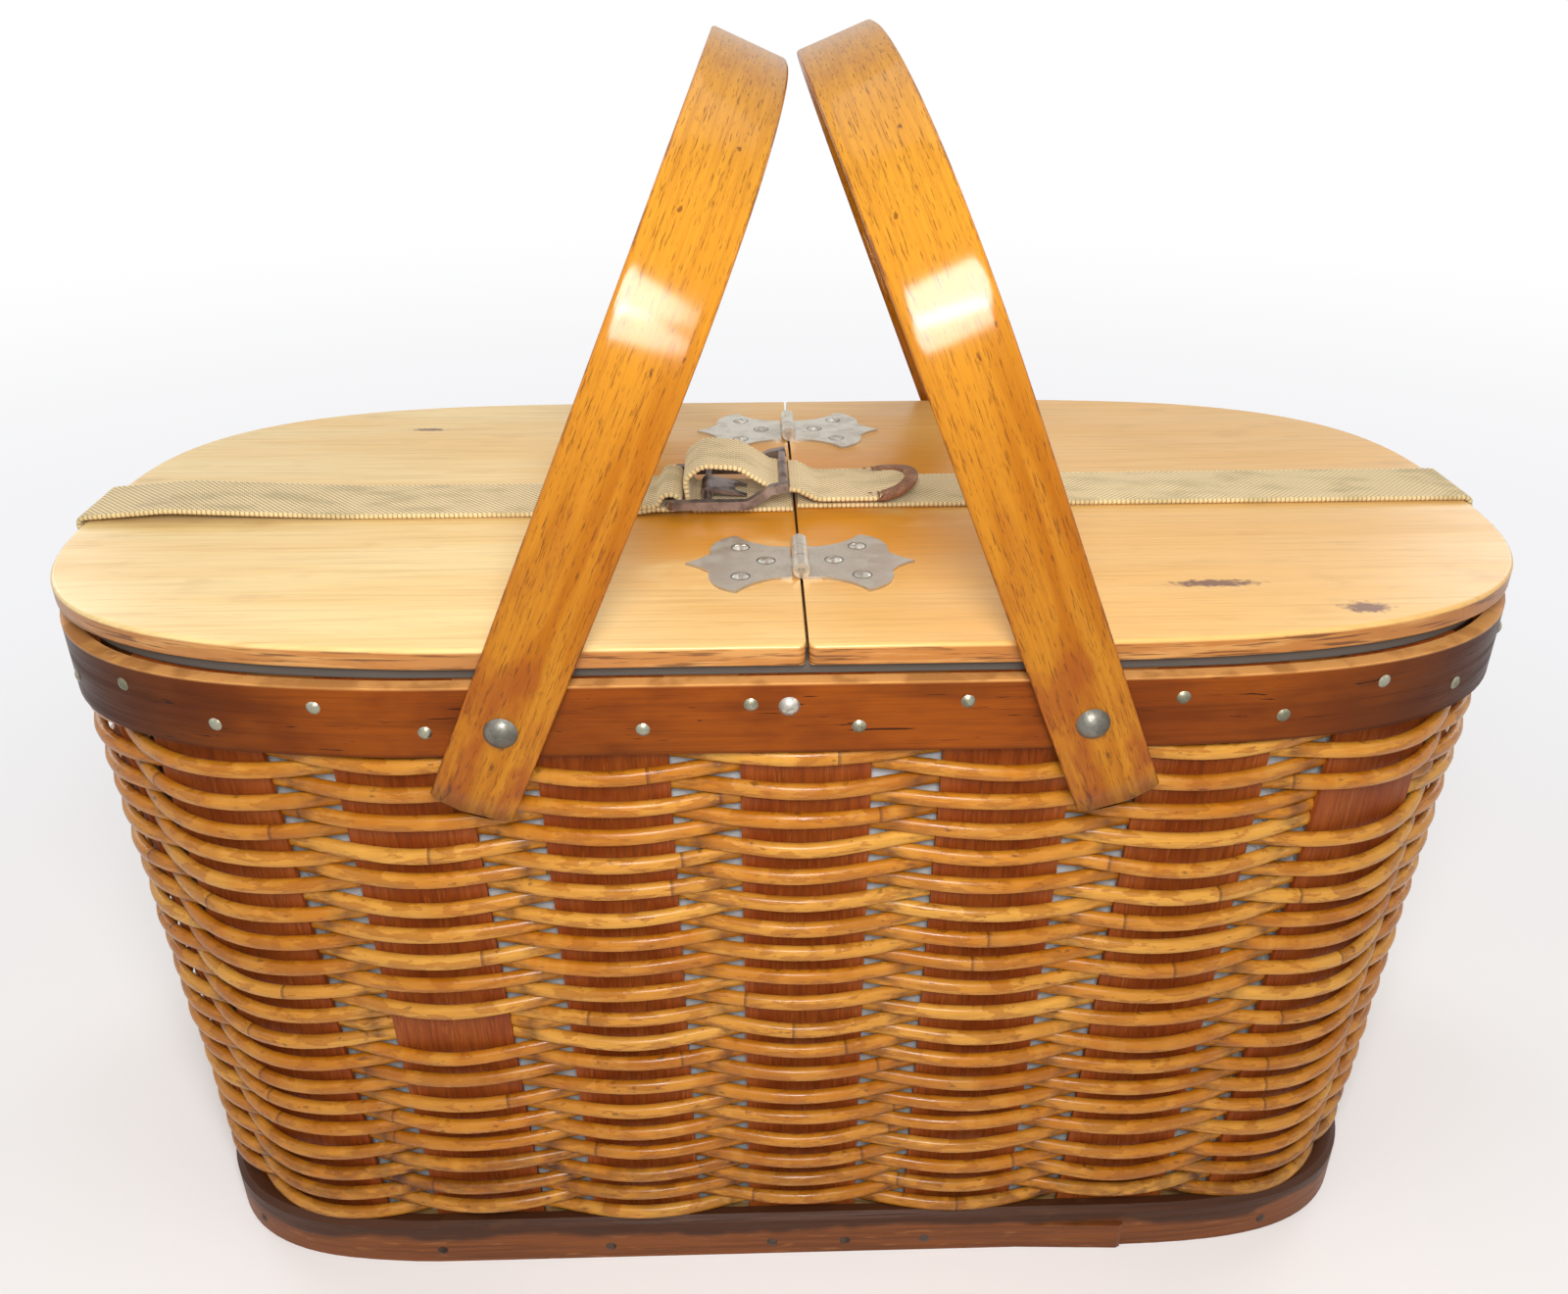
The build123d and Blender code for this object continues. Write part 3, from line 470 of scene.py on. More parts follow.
def new_material(name):
    """An empty material, its node tree, and the place of each point of the basket in metres."""
    made = bpy.data.materials.new(name)
    made.use_nodes = True
    made.node_tree.nodes.clear()
    return made, made.node_tree, add(made.node_tree, "TexCoord").outputs["Object"]


def patches(tree, place, size, low, high, detail=3.0, distortion=0.0):
    """A mask of soft patches of this size in mm, from 0 to 1 between two levels of noise."""
    mapped = add(tree, "Mapping", {"Vector": place, "Scale": tuple(1000 / s for s in size)})
    cloud = add(tree, "TexNoise", {
        "Vector": mapped, "Scale": 1.0, "Detail": detail, "Roughness": 0.55,
        "Distortion": distortion})
    return add(tree, "MapRange", {
        "Value": cloud.outputs["Fac"], "From Min": low, "From Max": high},
        interpolation_type="SMOOTHSTEP")


def layers(tree, base, *coats):
    """A base colour under coats: each is a mask, or a few to multiply, a strength and a colour."""
    result = (*base, 1)
    for masks, amount, colour in coats:
        for mask in masks if isinstance(masks, tuple) else (masks,):
            amount = add(tree, "Math", {0: mask, 1: amount}, operation="MULTIPLY")
        mixed = add(tree, "Mix", {0: amount, 6: result, 7: (*colour, 1)}, data_type="RGBA")
        result = mixed.outputs[2]
    return result


def apart(tree, value, middle):
    """How far a coordinate is from a middle, on either side of it."""
    offset = add(tree, "Math", {0: value, 1: middle}, operation="SUBTRACT")
    return add(tree, "Math", {0: offset}, operation="ABSOLUTE")


def spot_mask(tree, place, centre, size, turn, ragged=0.35):
    """A mask for one ragged mark at a place on the lids: its centre and half sizes in mm."""
    offset = add(tree, "Mapping", {"Vector": place, "Location": tuple(-c * MM for c in centre)})
    scaled = add(tree, "Mapping", {
        "Vector": offset, "Rotation": (0, 0, turn), "Scale": tuple(1000 / s for s in size)})
    distance = add(tree, "VectorMath", {0: scaled}, operation="LENGTH").outputs["Value"]
    cloud = add(tree, "TexNoise", {
        "Vector": place, "Scale": 1 / MARK_RAGGEDNESS, "Detail": 3.0})
    rough = add(tree, "Math", {
        0: cloud.outputs["Fac"], 1: ragged * 4, 2: distance}, operation="MULTIPLY_ADD")
    return add(tree, "MapRange", {
        "Value": rough, "From Min": 1.0 + ragged * 2.0, "From Max": 0.5 + ragged * 2.0})


def background_rays(tree):
    """1 for the rays that show the white background: seen, mirrored and through glass."""
    rays = add(tree, "LightPath").outputs
    seen = add(tree, "Math", {0: rays["Is Camera Ray"], 1: rays["Is Glossy Ray"]}, operation="ADD")
    return add(tree, "Math", {0: seen, 1: rays["Is Transmission Ray"]}, operation="ADD")


def shade(tree, colour, roughness, heights=(), **fixed):
    """The shader at the end of a material, with bumps given as (height, distance in mm)."""
    inputs = {
        "Base Color": colour, "Roughness": roughness, "Specular IOR Level": OLD_FINISH, **fixed}
    for height, distance in heights:
        bump = {"Height": height, "Distance": distance * MM, "Strength": 1.0}
        if "Normal" in inputs:
            bump["Normal"] = inputs["Normal"]
        inputs["Normal"] = add(tree, "Bump", bump)
    add(tree, "OutputMaterial", {"Surface": add(tree, "BsdfPrincipled", inputs)})


def dress(material, *nodes):
    """Gives CAD nodes a material."""
    for name in nodes:
        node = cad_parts[name]
        if not node.material_slots:
            node.data.materials.append(material)
        for slot in node.material_slots:
            slot.material = material


# Materials


def lid_board_material():
    """Poplar board under old shellac: satin, with faint grain, amber near the split, worn edges."""
    wood = bpy.context.scene.basket_wood
    material, tree, place = new_material("Shellacked poplar")
    x, y, z = add(tree, "SeparateXYZ", {0: place}).outputs
    figure = patches(tree, place, (190, 26, 40), 0.35, 0.68)
    grain = patches(tree, place, (55, 1.3, 4), 0.42, 0.75, detail=4)
    pores = patches(tree, place, (14, 0.5, 1.5), 0.6, 0.78, detail=2)
    off_split = apart(tree, x, SPLIT_X)
    right, near_split, by_buckle, top, under = (
        add(tree, "MapRange", {"Value": value, "From Min": low, "From Max": high},
            interpolation_type="SMOOTHSTEP")
        for value, low, high in (
            (x, -60 * MM, 90 * MM), (off_split, 115 * MM, 42 * MM),
            (apart(tree, y, BUCKLE_Y), 95 * MM, 30 * MM),
            (z, LID_TOP - 1.7 * MM, LID_TOP - 0.7 * MM), (z, LID_BOTTOM + 0.5 * MM, LID_BOTTOM)))
    rubbed = add(tree, "Math", {0: by_buckle, 1: 0.7, 2: 0.3}, operation="MULTIPLY_ADD")
    side = add(tree, "Math", {0: 1.0, 1: top}, operation="SUBTRACT")
    marks = 0.0
    for centre, size, turn in LID_SMEARS:
        marks = add(tree, "Math", {
            0: marks, 1: spot_mask(tree, place, centre, size, turn)}, operation="MAXIMUM")
    scratch = spot_mask(tree, place, *LID_SCRATCH, ragged=0.15)
    colour = layers(
        tree, wood.lid_pale,
        (right, 0.75, wood.lid_tan), (figure, 0.4, wood.lid_tan),
        ((near_split, rubbed, patches(tree, place, (60, 34, 40), 0.2, 0.5)), 0.95, wood.lid_amber),
        (grain, 0.3, linear("#A9762C")), (pores, 0.25, linear("#7E5426")),
        ((patches(tree, place, (26, 12, 14), 0.55, 0.8), off_split), 2.0, linear("#B98A50")),
        (marks, 0.85, linear("#5A3030")), (scratch, 0.5, linear("#C8A27A")),
        (side, 0.85, wood.lid_edge),
        ((side, patches(tree, place, (34, 34, 2.6), 0.5, 0.66)), 0.5, linear("#CF9C5C")),
        ((side, patches(tree, place, (24, 24, 1.0), 0.52, 0.62)), 0.7, linear("#4A2412")),
        (under, 1.0, wood.raw),
    )
    roughness = add(tree, "MapRange", {"Value": figure, "To Min": 0.3, "To Max": 0.42})
    shade(tree, colour, roughness, ((grain, 0.05), (figure, 0.12)), **{
        "Coat Weight": 0.18, "Coat Roughness": 0.24})
    return material


def strip_material(name, wood):
    """Lacquered oak strip bent into a bow: glossy, with dark open pores and worn, paler faces."""
    material, tree, place = new_material(name)
    along, across, depth = (
        add(tree, "Attribute", attribute_name=kept).outputs["Fac"]
        for kept in ("along", "across", "depth"))
    strip = add(tree, "CombineXYZ", {0: along, 1: across, 2: depth})
    figure = patches(tree, strip, (90, 8, 9), 0.36, 0.64, distortion=0.6)
    pores = patches(tree, strip, (5, 0.4, 1.2), 0.58, 0.68, detail=2)
    fine = patches(tree, strip, (45, 0.8, 2), 0.4, 0.7, detail=4)
    blotch = patches(tree, strip, (30, 12, 12), 0.5, 0.7)
    chips = patches(tree, strip, (7, 3.5, 5), 0.7, 0.74, detail=4)
    height = add(tree, "SeparateXYZ", {0: place}).outputs[2]
    high, low, edge = (
        add(tree, "MapRange", {"Value": value, "From Min": start, "From Max": end},
            interpolation_type="SMOOTHSTEP")
        for value, start, end in (
            (height, 330 * MM, 440 * MM), (height, 330 * MM, 235 * MM),
            (apart(tree, across, 0.0), 12.2 * MM, 13.1 * MM)))
    colour = layers(
        tree, wood.handle,
        (figure, 0.35, wood.handle_pale), (high, 0.75, wood.handle_pale),
        ((low, blotch), 0.7, wood.handle_red), (blotch, 0.22, wood.handle_red),
        (fine, 0.3, linear("#7E420A")), (pores, 0.6, linear("#542806")),
        (chips, 0.7, linear("#4A200A")), (edge, 0.35, linear("#B5651A")),
        ((edge, patches(tree, strip, (9, 5, 5), 0.5, 0.6)), 0.7, linear("#6A3212")),
        ((low, patches(tree, strip, (7, 3, 4), 0.62, 0.72)), 0.6, linear("#3A1A0A")),
    )
    roughness = add(tree, "MapRange", {"Value": blotch, "To Min": 0.2, "To Max": 0.34})
    shade(tree, colour, roughness, ((pores, -0.05), (figure, 0.15)), **{
        "Coat Weight": 0.5, "Coat Roughness": 0.13, "Specular IOR Level": 0.0})
    return material


def band_material(name, base, dark, pale_top, low, high):
    """Stained splint bent round the basket: satin, with streaks, cracks, a worn top edge, and
    painted shade darkening it towards the ends.
    """
    material, tree, place = new_material(name)
    x, _, z = add(tree, "SeparateXYZ", {0: place}).outputs
    streaks = patches(tree, place, (70, 70, 3.4), 0.42, 0.68, detail=4, distortion=0.3)
    fine = patches(tree, place, (30, 30, 0.7), 0.45, 0.7, detail=3)
    cracks = patches(tree, place, (20, 20, 1.3), 0.67, 0.71, detail=3, distortion=0.8)
    broad = patches(tree, place, (40, 40, 22), 0.38, 0.62)
    # The first mask is painted shade, darkening the band towards each end of the basket
    ends, top_edge, bottom_edge = (
        add(tree, "MapRange", {"Value": value, "From Min": start, "From Max": end},
            interpolation_type="SMOOTHSTEP")
        for value, start, end in (
            (apart(tree, x, 0.0), 120 * MM, 245 * MM),
            (z, high - 1.2 * MM, high - 0.2 * MM), (z, low + 1.6 * MM, low)))
    colour = layers(
        tree, base,
        (broad, 0.5, linear("#9A4E10")), (streaks, 0.3, dark), (fine, 0.15, dark),
        # Painted shade, darker towards each end
        (ends, 0.9, linear("#2E1404")), (cracks, 0.85, linear("#1C0C06")),
        (bottom_edge, 0.5, dark), (top_edge, pale_top, linear("#D69A58")),
        ((top_edge, patches(tree, place, (18, 18, 18), 0.45, 0.6)), 0.5 * pale_top,
         linear("#7A4218")),
    )
    roughness = add(tree, "MapRange", {"Value": streaks, "To Min": 0.32, "To Max": 0.5})
    shade(tree, colour, roughness, ((fine, 0.06), (cracks, -0.25)), **{
        "Coat Weight": 0.08, "Coat Roughness": 0.22, "Specular IOR Level": 0.06})
    return material


def base_band_material():
    """Ash band under worn stain: orange-brown, with painted shade and grime darkening its upper
    half.
    """
    material, tree, place = new_material("Stained ash band")
    z = add(tree, "SeparateXYZ", {0: place}).outputs[2]
    streaks = patches(tree, place, (80, 80, 2.2), 0.42, 0.66, detail=4)
    fine = patches(tree, place, (30, 30, 0.6), 0.45, 0.68)
    # Painted shade with grime: the band's upper half is darkened, with a ragged lower edge
    shade_and_grime_edge = patches(tree, place, (40, 40, 60), 0.3, 0.7)
    lifted = add(tree, "Math", {0: shade_and_grime_edge, 1: -5 * MM, 2: z}, operation="MULTIPLY_ADD")
    grime = add(tree, "MapRange", {
        "Value": lifted, "From Min": 8.5 * MM, "From Max": 12.5 * MM},
        interpolation_type="SMOOTHSTEP")
    scuffs = patches(tree, place, (16, 16, 3), 0.58, 0.7)
    colour = layers(
        tree, linear("#7E451C"),
        (streaks, 0.5, linear("#4E280F")), (fine, 0.25, linear("#40200C")),
        (scuffs, 0.4, linear("#A56A38")), (grime, 0.8, linear("#2E1A10")),
    )
    shade(tree, colour, 0.45, ((streaks, 0.1), (fine, 0.05)))
    return material


def stake_material():
    """Rift-sawn splint: thin red-brown wood with fine upright grain and little shine."""
    weave = bpy.context.scene.basket_weave
    material, tree, place = new_material("Stained splint")
    grain = patches(tree, place, (1.1, 1.1, 42), 0.4, 0.68, detail=4)
    broad = patches(tree, place, (12, 12, 160), 0.38, 0.64)
    fibre = patches(tree, place, (0.6, 0.6, 12), 0.55, 0.72)
    colour = layers(
        tree, weave.stake,
        (broad, 0.5, linear("#98501C")), (grain, 0.45, weave.stake_dark),
        (fibre, 0.3, linear("#BC7234")),
    )
    shade(tree, colour, 0.5, ((grain, 0.08),))
    return material


def reed_material():
    """Round rattan reed under shellac: golden and satin, with painted shade and dirt where the reed
    turns behind a stake.
    """
    weave = bpy.context.scene.basket_weave
    material, tree, place = new_material("Shellacked reed")
    along, tone, grime = (
        add(tree, "Attribute", attribute_name=kept).outputs["Fac"]
        for kept in ("along", "tone", "grime"))
    run = add(tree, "CombineXYZ", {0: along, 1: tone, 2: 0.0})
    lengthwise = patches(tree, run, (38, 60, 1000), 0.38, 0.66)
    flaked = patches(tree, place, (13, 13, 3.2), 0.5, 0.55, detail=4)
    fibre = patches(tree, place, (9, 9, 0.55), 0.45, 0.7)
    mottle = patches(tree, place, (5, 5, 2.0), 0.64, 0.72)
    joint = add(tree, "Math", {0: along, 1: REED_JOINT}, operation="MODULO")
    ring, scar, pale, deep = (
        add(tree, "MapRange", {"Value": value, "From Min": start, "From Max": end},
            interpolation_type="SMOOTHSTEP")
        for value, start, end in (
            (joint, 1.5 * MM, 0.6 * MM), (joint, 9 * MM, 1 * MM),
            (tone, 0.5, 0.95), (tone, 0.42, 0.0)))
    colour = layers(
        tree, weave.reed,
        (pale, 0.6, weave.reed_light), (deep, 0.5, linear("#9A540C")),
        (lengthwise, 0.3, weave.reed_light), (flaked, 0.55, linear("#9A560A")),
        (fibre, 0.2, linear("#8E5210")), (scar, 0.3, linear("#8A4A10")),
        (mottle, 0.55, weave.reed_dark), (ring, 0.55, weave.reed_dark),
        # Painted shade and dirt where the reed turns behind a stake, and darker patches on the
        # lowest rows
        ((grime, patches(tree, place, (9, 9, 3), 0.3, 0.62)), 0.85, weave.reed_dark),
    )
    roughness = add(tree, "MapRange", {"Value": flaked, "To Min": 0.4, "To Max": 0.26})
    shade(tree, colour, roughness, ((fibre, 0.05), (flaked, 0.08)), **{
        "Coat Weight": 0.22, "Coat Roughness": 0.2})
    return material


def screw_shade_ring(tree, place, x, y):
    """Masks of a ring of painted shade and dirt round each screw head, at this distance from the
    middle of each hinge.
    """
    front, back = HINGE_PLACES
    along, across, _ = add(tree, "SeparateXYZ", {0: place}).outputs
    in_front = add(tree, "Math", {0: across, 1: (front + back) / 2}, operation="LESS_THAN")
    hinge = add(tree, "Math", {0: in_front, 1: front - back, 2: back}, operation="MULTIPLY_ADD")
    from_hinge = add(tree, "Math", {0: across, 1: hinge}, operation="SUBTRACT")
    spot = add(tree, "CombineXYZ", {
        0: add(tree, "Math", {0: apart(tree, along, SPLIT_X), 1: x}, operation="SUBTRACT"),
        1: add(tree, "Math", {0: from_hinge, 1: y}, operation="SUBTRACT")})
    distance = add(tree, "VectorMath", {0: spot}, operation="LENGTH").outputs["Value"]
    return tuple(
        add(tree, "MapRange", {"Value": distance, "From Min": start, "From Max": end},
            interpolation_type="SMOOTHSTEP")
        for start, end in ((3.5 * MM, 3.0 * MM), (2.4 * MM, 2.8 * MM)))


def metal_material(name, colour, tarnish, amount, roughness, grit, screws=()):
    """Old plated steel: dull metal with brown tarnish, fine pits of this size in mm, and painted
    shade with dirt in rings round any screws.
    """
    material, tree, place = new_material(name)
    stains = patches(tree, place, (7, 7, 7), 0.42, 0.66, detail=5)
    pits = patches(tree, place, (grit, grit, grit), 0.58, 0.72)
    # Painted shade with dirt: a dark ring round the base of each screw head
    shade_rings = [(screw_shade_ring(tree, place, x, y), 0.8, linear("#2E2A24")) for x, y in screws]
    tint = layers(tree, colour, (stains, amount, tarnish), (pits, 0.5, tarnish), *shade_rings)
    gloss = add(tree, "MapRange", {"Value": stains, "To Min": roughness, "To Max": roughness + 0.2})
    shade(tree, tint, gloss, ((pits, -0.05), (stains, -0.04)), Metallic=1.0)
    return material


def webbing_material():
    """Cotton webbing in plain weave: matt khaki threads with dark gaps between them."""
    fittings = bpy.context.scene.basket_fittings
    material, tree, place = new_material("Cotton webbing")
    weave = add(tree, "Attribute", attribute_name="weave").outputs["Fac"]
    soil = patches(tree, place, (22, 9, 20), 0.45, 0.7)
    # Fluff is finer than this, and is drawn as coarse as it needs to show
    fuzz = patches(tree, place, (0.5, 0.5, 0.5), 0.4, 0.7)
    gaps = add(tree, "MapRange", {
        "Value": weave, "From Min": 0.62, "From Max": 0.2}, interpolation_type="SMOOTHSTEP")
    colour = layers(
        tree, fittings.webbing,
        (soil, 0.4, linear("#93804F")), (gaps, 0.85, fittings.webbing_dark),
        (fuzz, 0.2, linear("#E0D0A4")),
    )
    shade(tree, colour, 0.9, ((fuzz, 0.06),), **{"Sheen Weight": 0.25, "Sheen Roughness": 0.5})
    return material


def leather_material():
    """Vegetable-tanned leather, dried and rubbed: brown, with paler worn patches and darker
    creases.
    """
    fittings = bpy.context.scene.basket_fittings
    material, tree, place = new_material("Old leather")
    creases = add(tree, "TexVoronoi", {
        "Vector": place, "Scale": 1 / LEATHER_CREASE, "Randomness": 1.0},
        feature="DISTANCE_TO_EDGE")
    crease = add(tree, "MapRange", {
        "Value": creases.outputs["Distance"], "From Min": 0.12, "From Max": 0.0},
        interpolation_type="SMOOTHSTEP")
    worn = patches(tree, place, (6, 6, 6), 0.48, 0.68)
    colour = layers(
        tree, fittings.leather, (worn, 0.6, linear("#B58A64")), (crease, 0.4, linear("#4E3326")))
    shade(tree, colour, 0.55, ((crease, -0.08), (worn, 0.1)))
    return material


# Pieces


class BASKET_OT_weave(bpy.types.Operator):
    """Weave the rows of reed over and under the stakes"""
    bl_idname = "basket.weave"
    bl_label = "Woven wall"

    def execute(self, context):
        weave = context.scene.basket_weave
        dress(stake_material(), "stakes")
        material = reed_material()
        depth, height = weave.reed_depth / 2, weave.reed_height / 2
        turns = [2 * math.pi * i / REED_SIDES for i in range(REED_SIDES)]
        oval = [(depth * flattened(math.cos(t)), height * flattened(math.sin(t)), 0) for t in turns]
        section = poly_curve("reed_section", "2D", [oval], True)
        half = weave.rows // 2
        for name, rows, node in (
                ("reeds_low", range(half), "inner_weave"),
                ("reeds_high", range(half, weave.rows), "outer_weave")):
            mesh = self.rows_mesh(name, rows, weave, section)
            place_piece(name, mesh, "basket", "reed", material, node)
        bpy.data.objects.remove(section)
        return {"FINISHED"}

    def rows_mesh(self, name, rows, weave, section):
        """The reeds of several rows, with how far along and how pale each point is, and how much
        painted shade and dirt it takes.
        """
        lines, radii, along, tone, grime = [], [], [], [], []
        steps = STAKES * STAKE_STEPS
        for row in rows:
            chance = random.Random(500 + row)
            base_tone, start = chance.random(), chance.random() * 5
            sags = [chance.uniform(-0.5, 0.75) * MM for _ in range(STAKES)]
            swings = [chance.uniform(0.9, 1.06) for _ in range(STAKES)]
            loop = wall_loop(weave.first_row + row * weave.row_pitch)
            shares = [0.5 + n / steps for n in range(steps)]
            spots, total = stations(loop, shares)
            line = []
            for n, (share, (spot, outward)) in enumerate(zip(shares, spots)):
                # Which stake the reed is at, and whether it is in front of it, 1, or behind it, -1
                count = math.floor(share * STAKES + 0.5)
                stake = count % STAKES
                in_front = 1 if (count + row) % 2 and (row, stake) not in SKIPPED_STAKES else -1
                wave = in_front * math.cos(math.pi * (share * STAKES - count))
                over = max(0.0, wave)
                out = REED_MIDDLE + weave.bow_out * wave * swings[stake]
                drop = weave.sag * over + sags[stake] * over ** 2
                drift = noise.noise(Vector((share * 9, row * 0.31, 3.7))) * ROW_DRIFT
                wobble = noise.noise(Vector((share * 37, row * 5.3, 9.1))) * ROW_WOBBLE
                # The lowest and highest rows lie straight along the bands
                free = min(1.0, row / 3, (weave.rows - 1 - row) / 2 + 0.2)
                rise = (drift + wobble) * free - drop
                line.append((*(spot + outward * out).xy, spot.z + rise))
                mottle = noise.noise(Vector((share * 14, row * 2.3, 7)))
                soot = noise.noise(Vector((share * 5, row * 0.2, 2)))
                # Painted shade where the reed turns behind a stake, a little all along, and darker
                # patches on the lowest rows
                shade_and_dirt = 0.12 + 0.75 * max(0.0, 1 - abs(wave + 0.15) * 3.5)
                shade_and_dirt += 1.2 * max(0.0, 1 - row / 9) * max(0.0, 0.15 + soot)
                along += [start + total * n / steps] * REED_SIDES
                tone += [base_tone * 0.55 + 0.45 * (0.5 + mottle)] * REED_SIDES
                grime += [shade_and_dirt] * REED_SIDES
                radii.append(1 + 0.08 * noise.noise(Vector((share * 25, row * 3.1, 5))))
            lines.append(line)
        holder = poly_curve(name, "3D", lines, True, section)
        holder.data.twist_mode = "Z_UP"
        widths = iter(radii)
        for spline in holder.data.splines:
            for point in spline.points:
                point.radius = next(widths)
        mesh = skin_of(holder)
        if len(mesh.vertices) != len(along):
            raise RuntimeError(f"{name}: {len(mesh.vertices)} points where {len(along)} were laid")
        for attribute, values in (("along", along), ("tone", tone), ("grime", grime)):
            mesh.attributes.new(attribute, "FLOAT", "POINT").data.foreach_set("value", values)
        mesh.shade_smooth()
        return mesh


class BASKET_OT_handles(bpy.types.Operator):
    """Bend the two handles"""
    bl_idname = "basket.handles"
    bl_label = "Bow handles"

    def execute(self, context):
        wood = context.scene.basket_wood
        for name, side in (("left_handle", 1), ("right_handle", -1)):
            material = strip_material(f"Lacquered oak {name}", wood)
            place_piece(name + "_strip", self.bow(name, side), name, "handle_wood", material, name)
        return {"FINISHED"}

    def bow(self, name, side):
        """A strip bent into a tall bow, which leans in until the two handles nearly meet."""
        reach = PIVOT_X + side * BOW_MEET_X - BOW_GAP / 2
        half_width = BOW_WIDTH / 2
        lean = math.asin(reach / math.hypot(BOW_HEIGHT, half_width))
        lean -= math.atan(half_width / BOW_HEIGHT)
        up = Vector((side * math.sin(lean), 0, math.cos(lean)))
        sideways = Vector((0, 1, 0)).cross(up)
        half = BOW_HALF - BOW_THICKNESS / 2
        top = BOW_HEIGHT - BOW_THICKNESS / 2
        leg = [-BOW_FOOT + (BOW_STRAIGHT + BOW_FOOT) * n / LEG_STEPS for n in range(LEG_STEPS)]
        outline = [(-half, height) for height in leg]
        for step in range(ARCH_STEPS + 1):
            angle = math.pi * step / ARCH_STEPS
            across = math.copysign(abs(math.cos(angle)) ** (2 / BOW_POWER), -math.cos(angle))
            rise = abs(math.sin(angle)) ** (2 / BOW_POWER)
            outline.append((half * across, BOW_STRAIGHT + (top - BOW_STRAIGHT) * rise))
        outline += [(half, height) for height in reversed(leg)]
        bow_plane = Matrix((Vector((0, 1, 0)), up, sideways)).transposed().to_4x4()
        bow_plane.translation = Vector((-side * PIVOT_X, 0, PIVOT_Z))
        section = rounded_section(BOW_WIDTH, BOW_THICKNESS, BOW_CORNER, BOW_FACE_STEPS)
        bm = sweep(outline, section, bow_plane)
        across = bm.verts.layers.float["across"]
        along = bm.verts.layers.float["along"]
        total = max(v[along] for v in bm.verts)
        for vert in bm.verts:
            if vert[along] < 1e-6 or vert[along] > total - 1e-6:
                vert.co -= up * BOW_FOOT_BULGE * (1 - (vert[across] / half_width) ** 2)
        return mesh_from(bm, name + "_strip")


class BASKET_OT_boards(bpy.types.Operator):
    """Finish the lids, the rim, the base and the wood inside"""
    bl_idname = "basket.boards"
    bl_label = "Boards and bands"

    def execute(self, context):
        wood = context.scene.basket_wood
        dress(lid_board_material(), "left_lid_board", "right_lid_board")
        for node, name, base, pale_top in (
                ("outer_rim_band", "Mahogany-stained splint", wood.band, 0.9),
                ("inner_rim_hoop", "Stained hoop", linear("#9A6233"), 0.5)):
            low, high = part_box(node)
            dress(band_material(name, base, wood.band_dark, pale_top, low.z, high.z), node)
        dress(base_band_material(), "base_band")
        dress(self.raw_wood(wood), "base_board", "cross_bar", "left_lid_battens",
              "right_lid_battens")
        return {"FINISHED"}

    def raw_wood(self, wood):
        """Planed poplar without a finish: pale, dry and matt."""
        material, tree, place = new_material("Planed poplar")
        grain = patches(tree, place, (60, 2.2, 5), 0.4, 0.7, detail=4)
        stain = patches(tree, place, (60, 40, 40), 0.5, 0.75)
        colour = layers(
            tree, wood.raw, (grain, 0.35, linear("#8E6637")), (stain, 0.35, linear("#7E5A34")))
        shade(tree, colour, 0.65, ((grain, 0.08),))
        return material


class BASKET_OT_fittings(bpy.types.Operator):
    """Finish the metal fittings"""
    bl_idname = "basket.fittings"
    bl_label = "Metal fittings"

    def execute(self, context):
        metal = context.scene.basket_fittings
        for name, colour, tarnish, amount, roughness, grit, nodes in (
                ("Tarnished screw steel", linear("#C2BDB2"), metal.tarnish, 0.5, 0.3, 0.5, (
                    "left_hinge_screws", "right_hinge_screws", "hinge_pins", "cross_bar_screws",
                    "left_batten_screws", "right_batten_screws")),
                ("Rivet steel", linear("#858279"), linear("#4E4A40"), 0.6, 0.38, 0.6, (
                    "handle_rivets", "rivet_washers")),
                ("Brassed tack", metal.tack, linear("#4E4A2E"), 0.6, 0.3, 0.5, ("rim_tacks",)),
                ("Rusty nail iron", linear("#5E5048"), linear("#3A2A20"), 0.8, 0.5, 0.5, (
                    "base_nails",)),
                ("Bronzed buckle steel", metal.buckle, linear("#3E352A"), 0.6, 0.36, 0.6, (
                    "buckle_frame", "buckle_tongue"))):
            dress(metal_material(name, colour, tarnish, amount, roughness, grit), *nodes)
        hinge = metal_material(
            "Tarnished nickel plate", metal.hinge, linear("#8E877B"), 0.3, 0.36, 0.8, SCREW_PLACES)
        dress(hinge, "front_hinge_left_leaf", "front_hinge_right_leaf", "back_hinge_left_leaf",
              "back_hinge_right_leaf")
        dress(self.liner_sheet(metal), "liner")
        return {"FINISHED"}

    def liner_sheet(self, metal):
        """Tin-plated sheet gone dull: near white, half matt, without a mirror, with painted shade
        darkening its lip.
        """
        material, tree, place = new_material("Dull tinned sheet")
        clouds = patches(tree, place, (22, 22, 22), 0.4, 0.68)
        rust = patches(tree, place, (9, 9, 9), 0.64, 0.74)
        z = add(tree, "SeparateXYZ", {0: place}).outputs[2]
        # Painted shade: the liner's lip, seen in the gap under the lids, is darkened almost to
        # black-brown
        painted_lip_shade = add(tree, "MapRange", {
            "Value": z, "From Min": 264 * MM, "From Max": 268 * MM},
            interpolation_type="SMOOTHSTEP")
        colour = layers(
            tree, metal.liner, (clouds, 0.2, linear("#DADCDF")), (rust, 0.25, linear("#A99A86")),
            (painted_lip_shade, 0.92, linear("#33291C")))
        shade(tree, colour, 0.4, ((clouds, 0.05),))
        return material


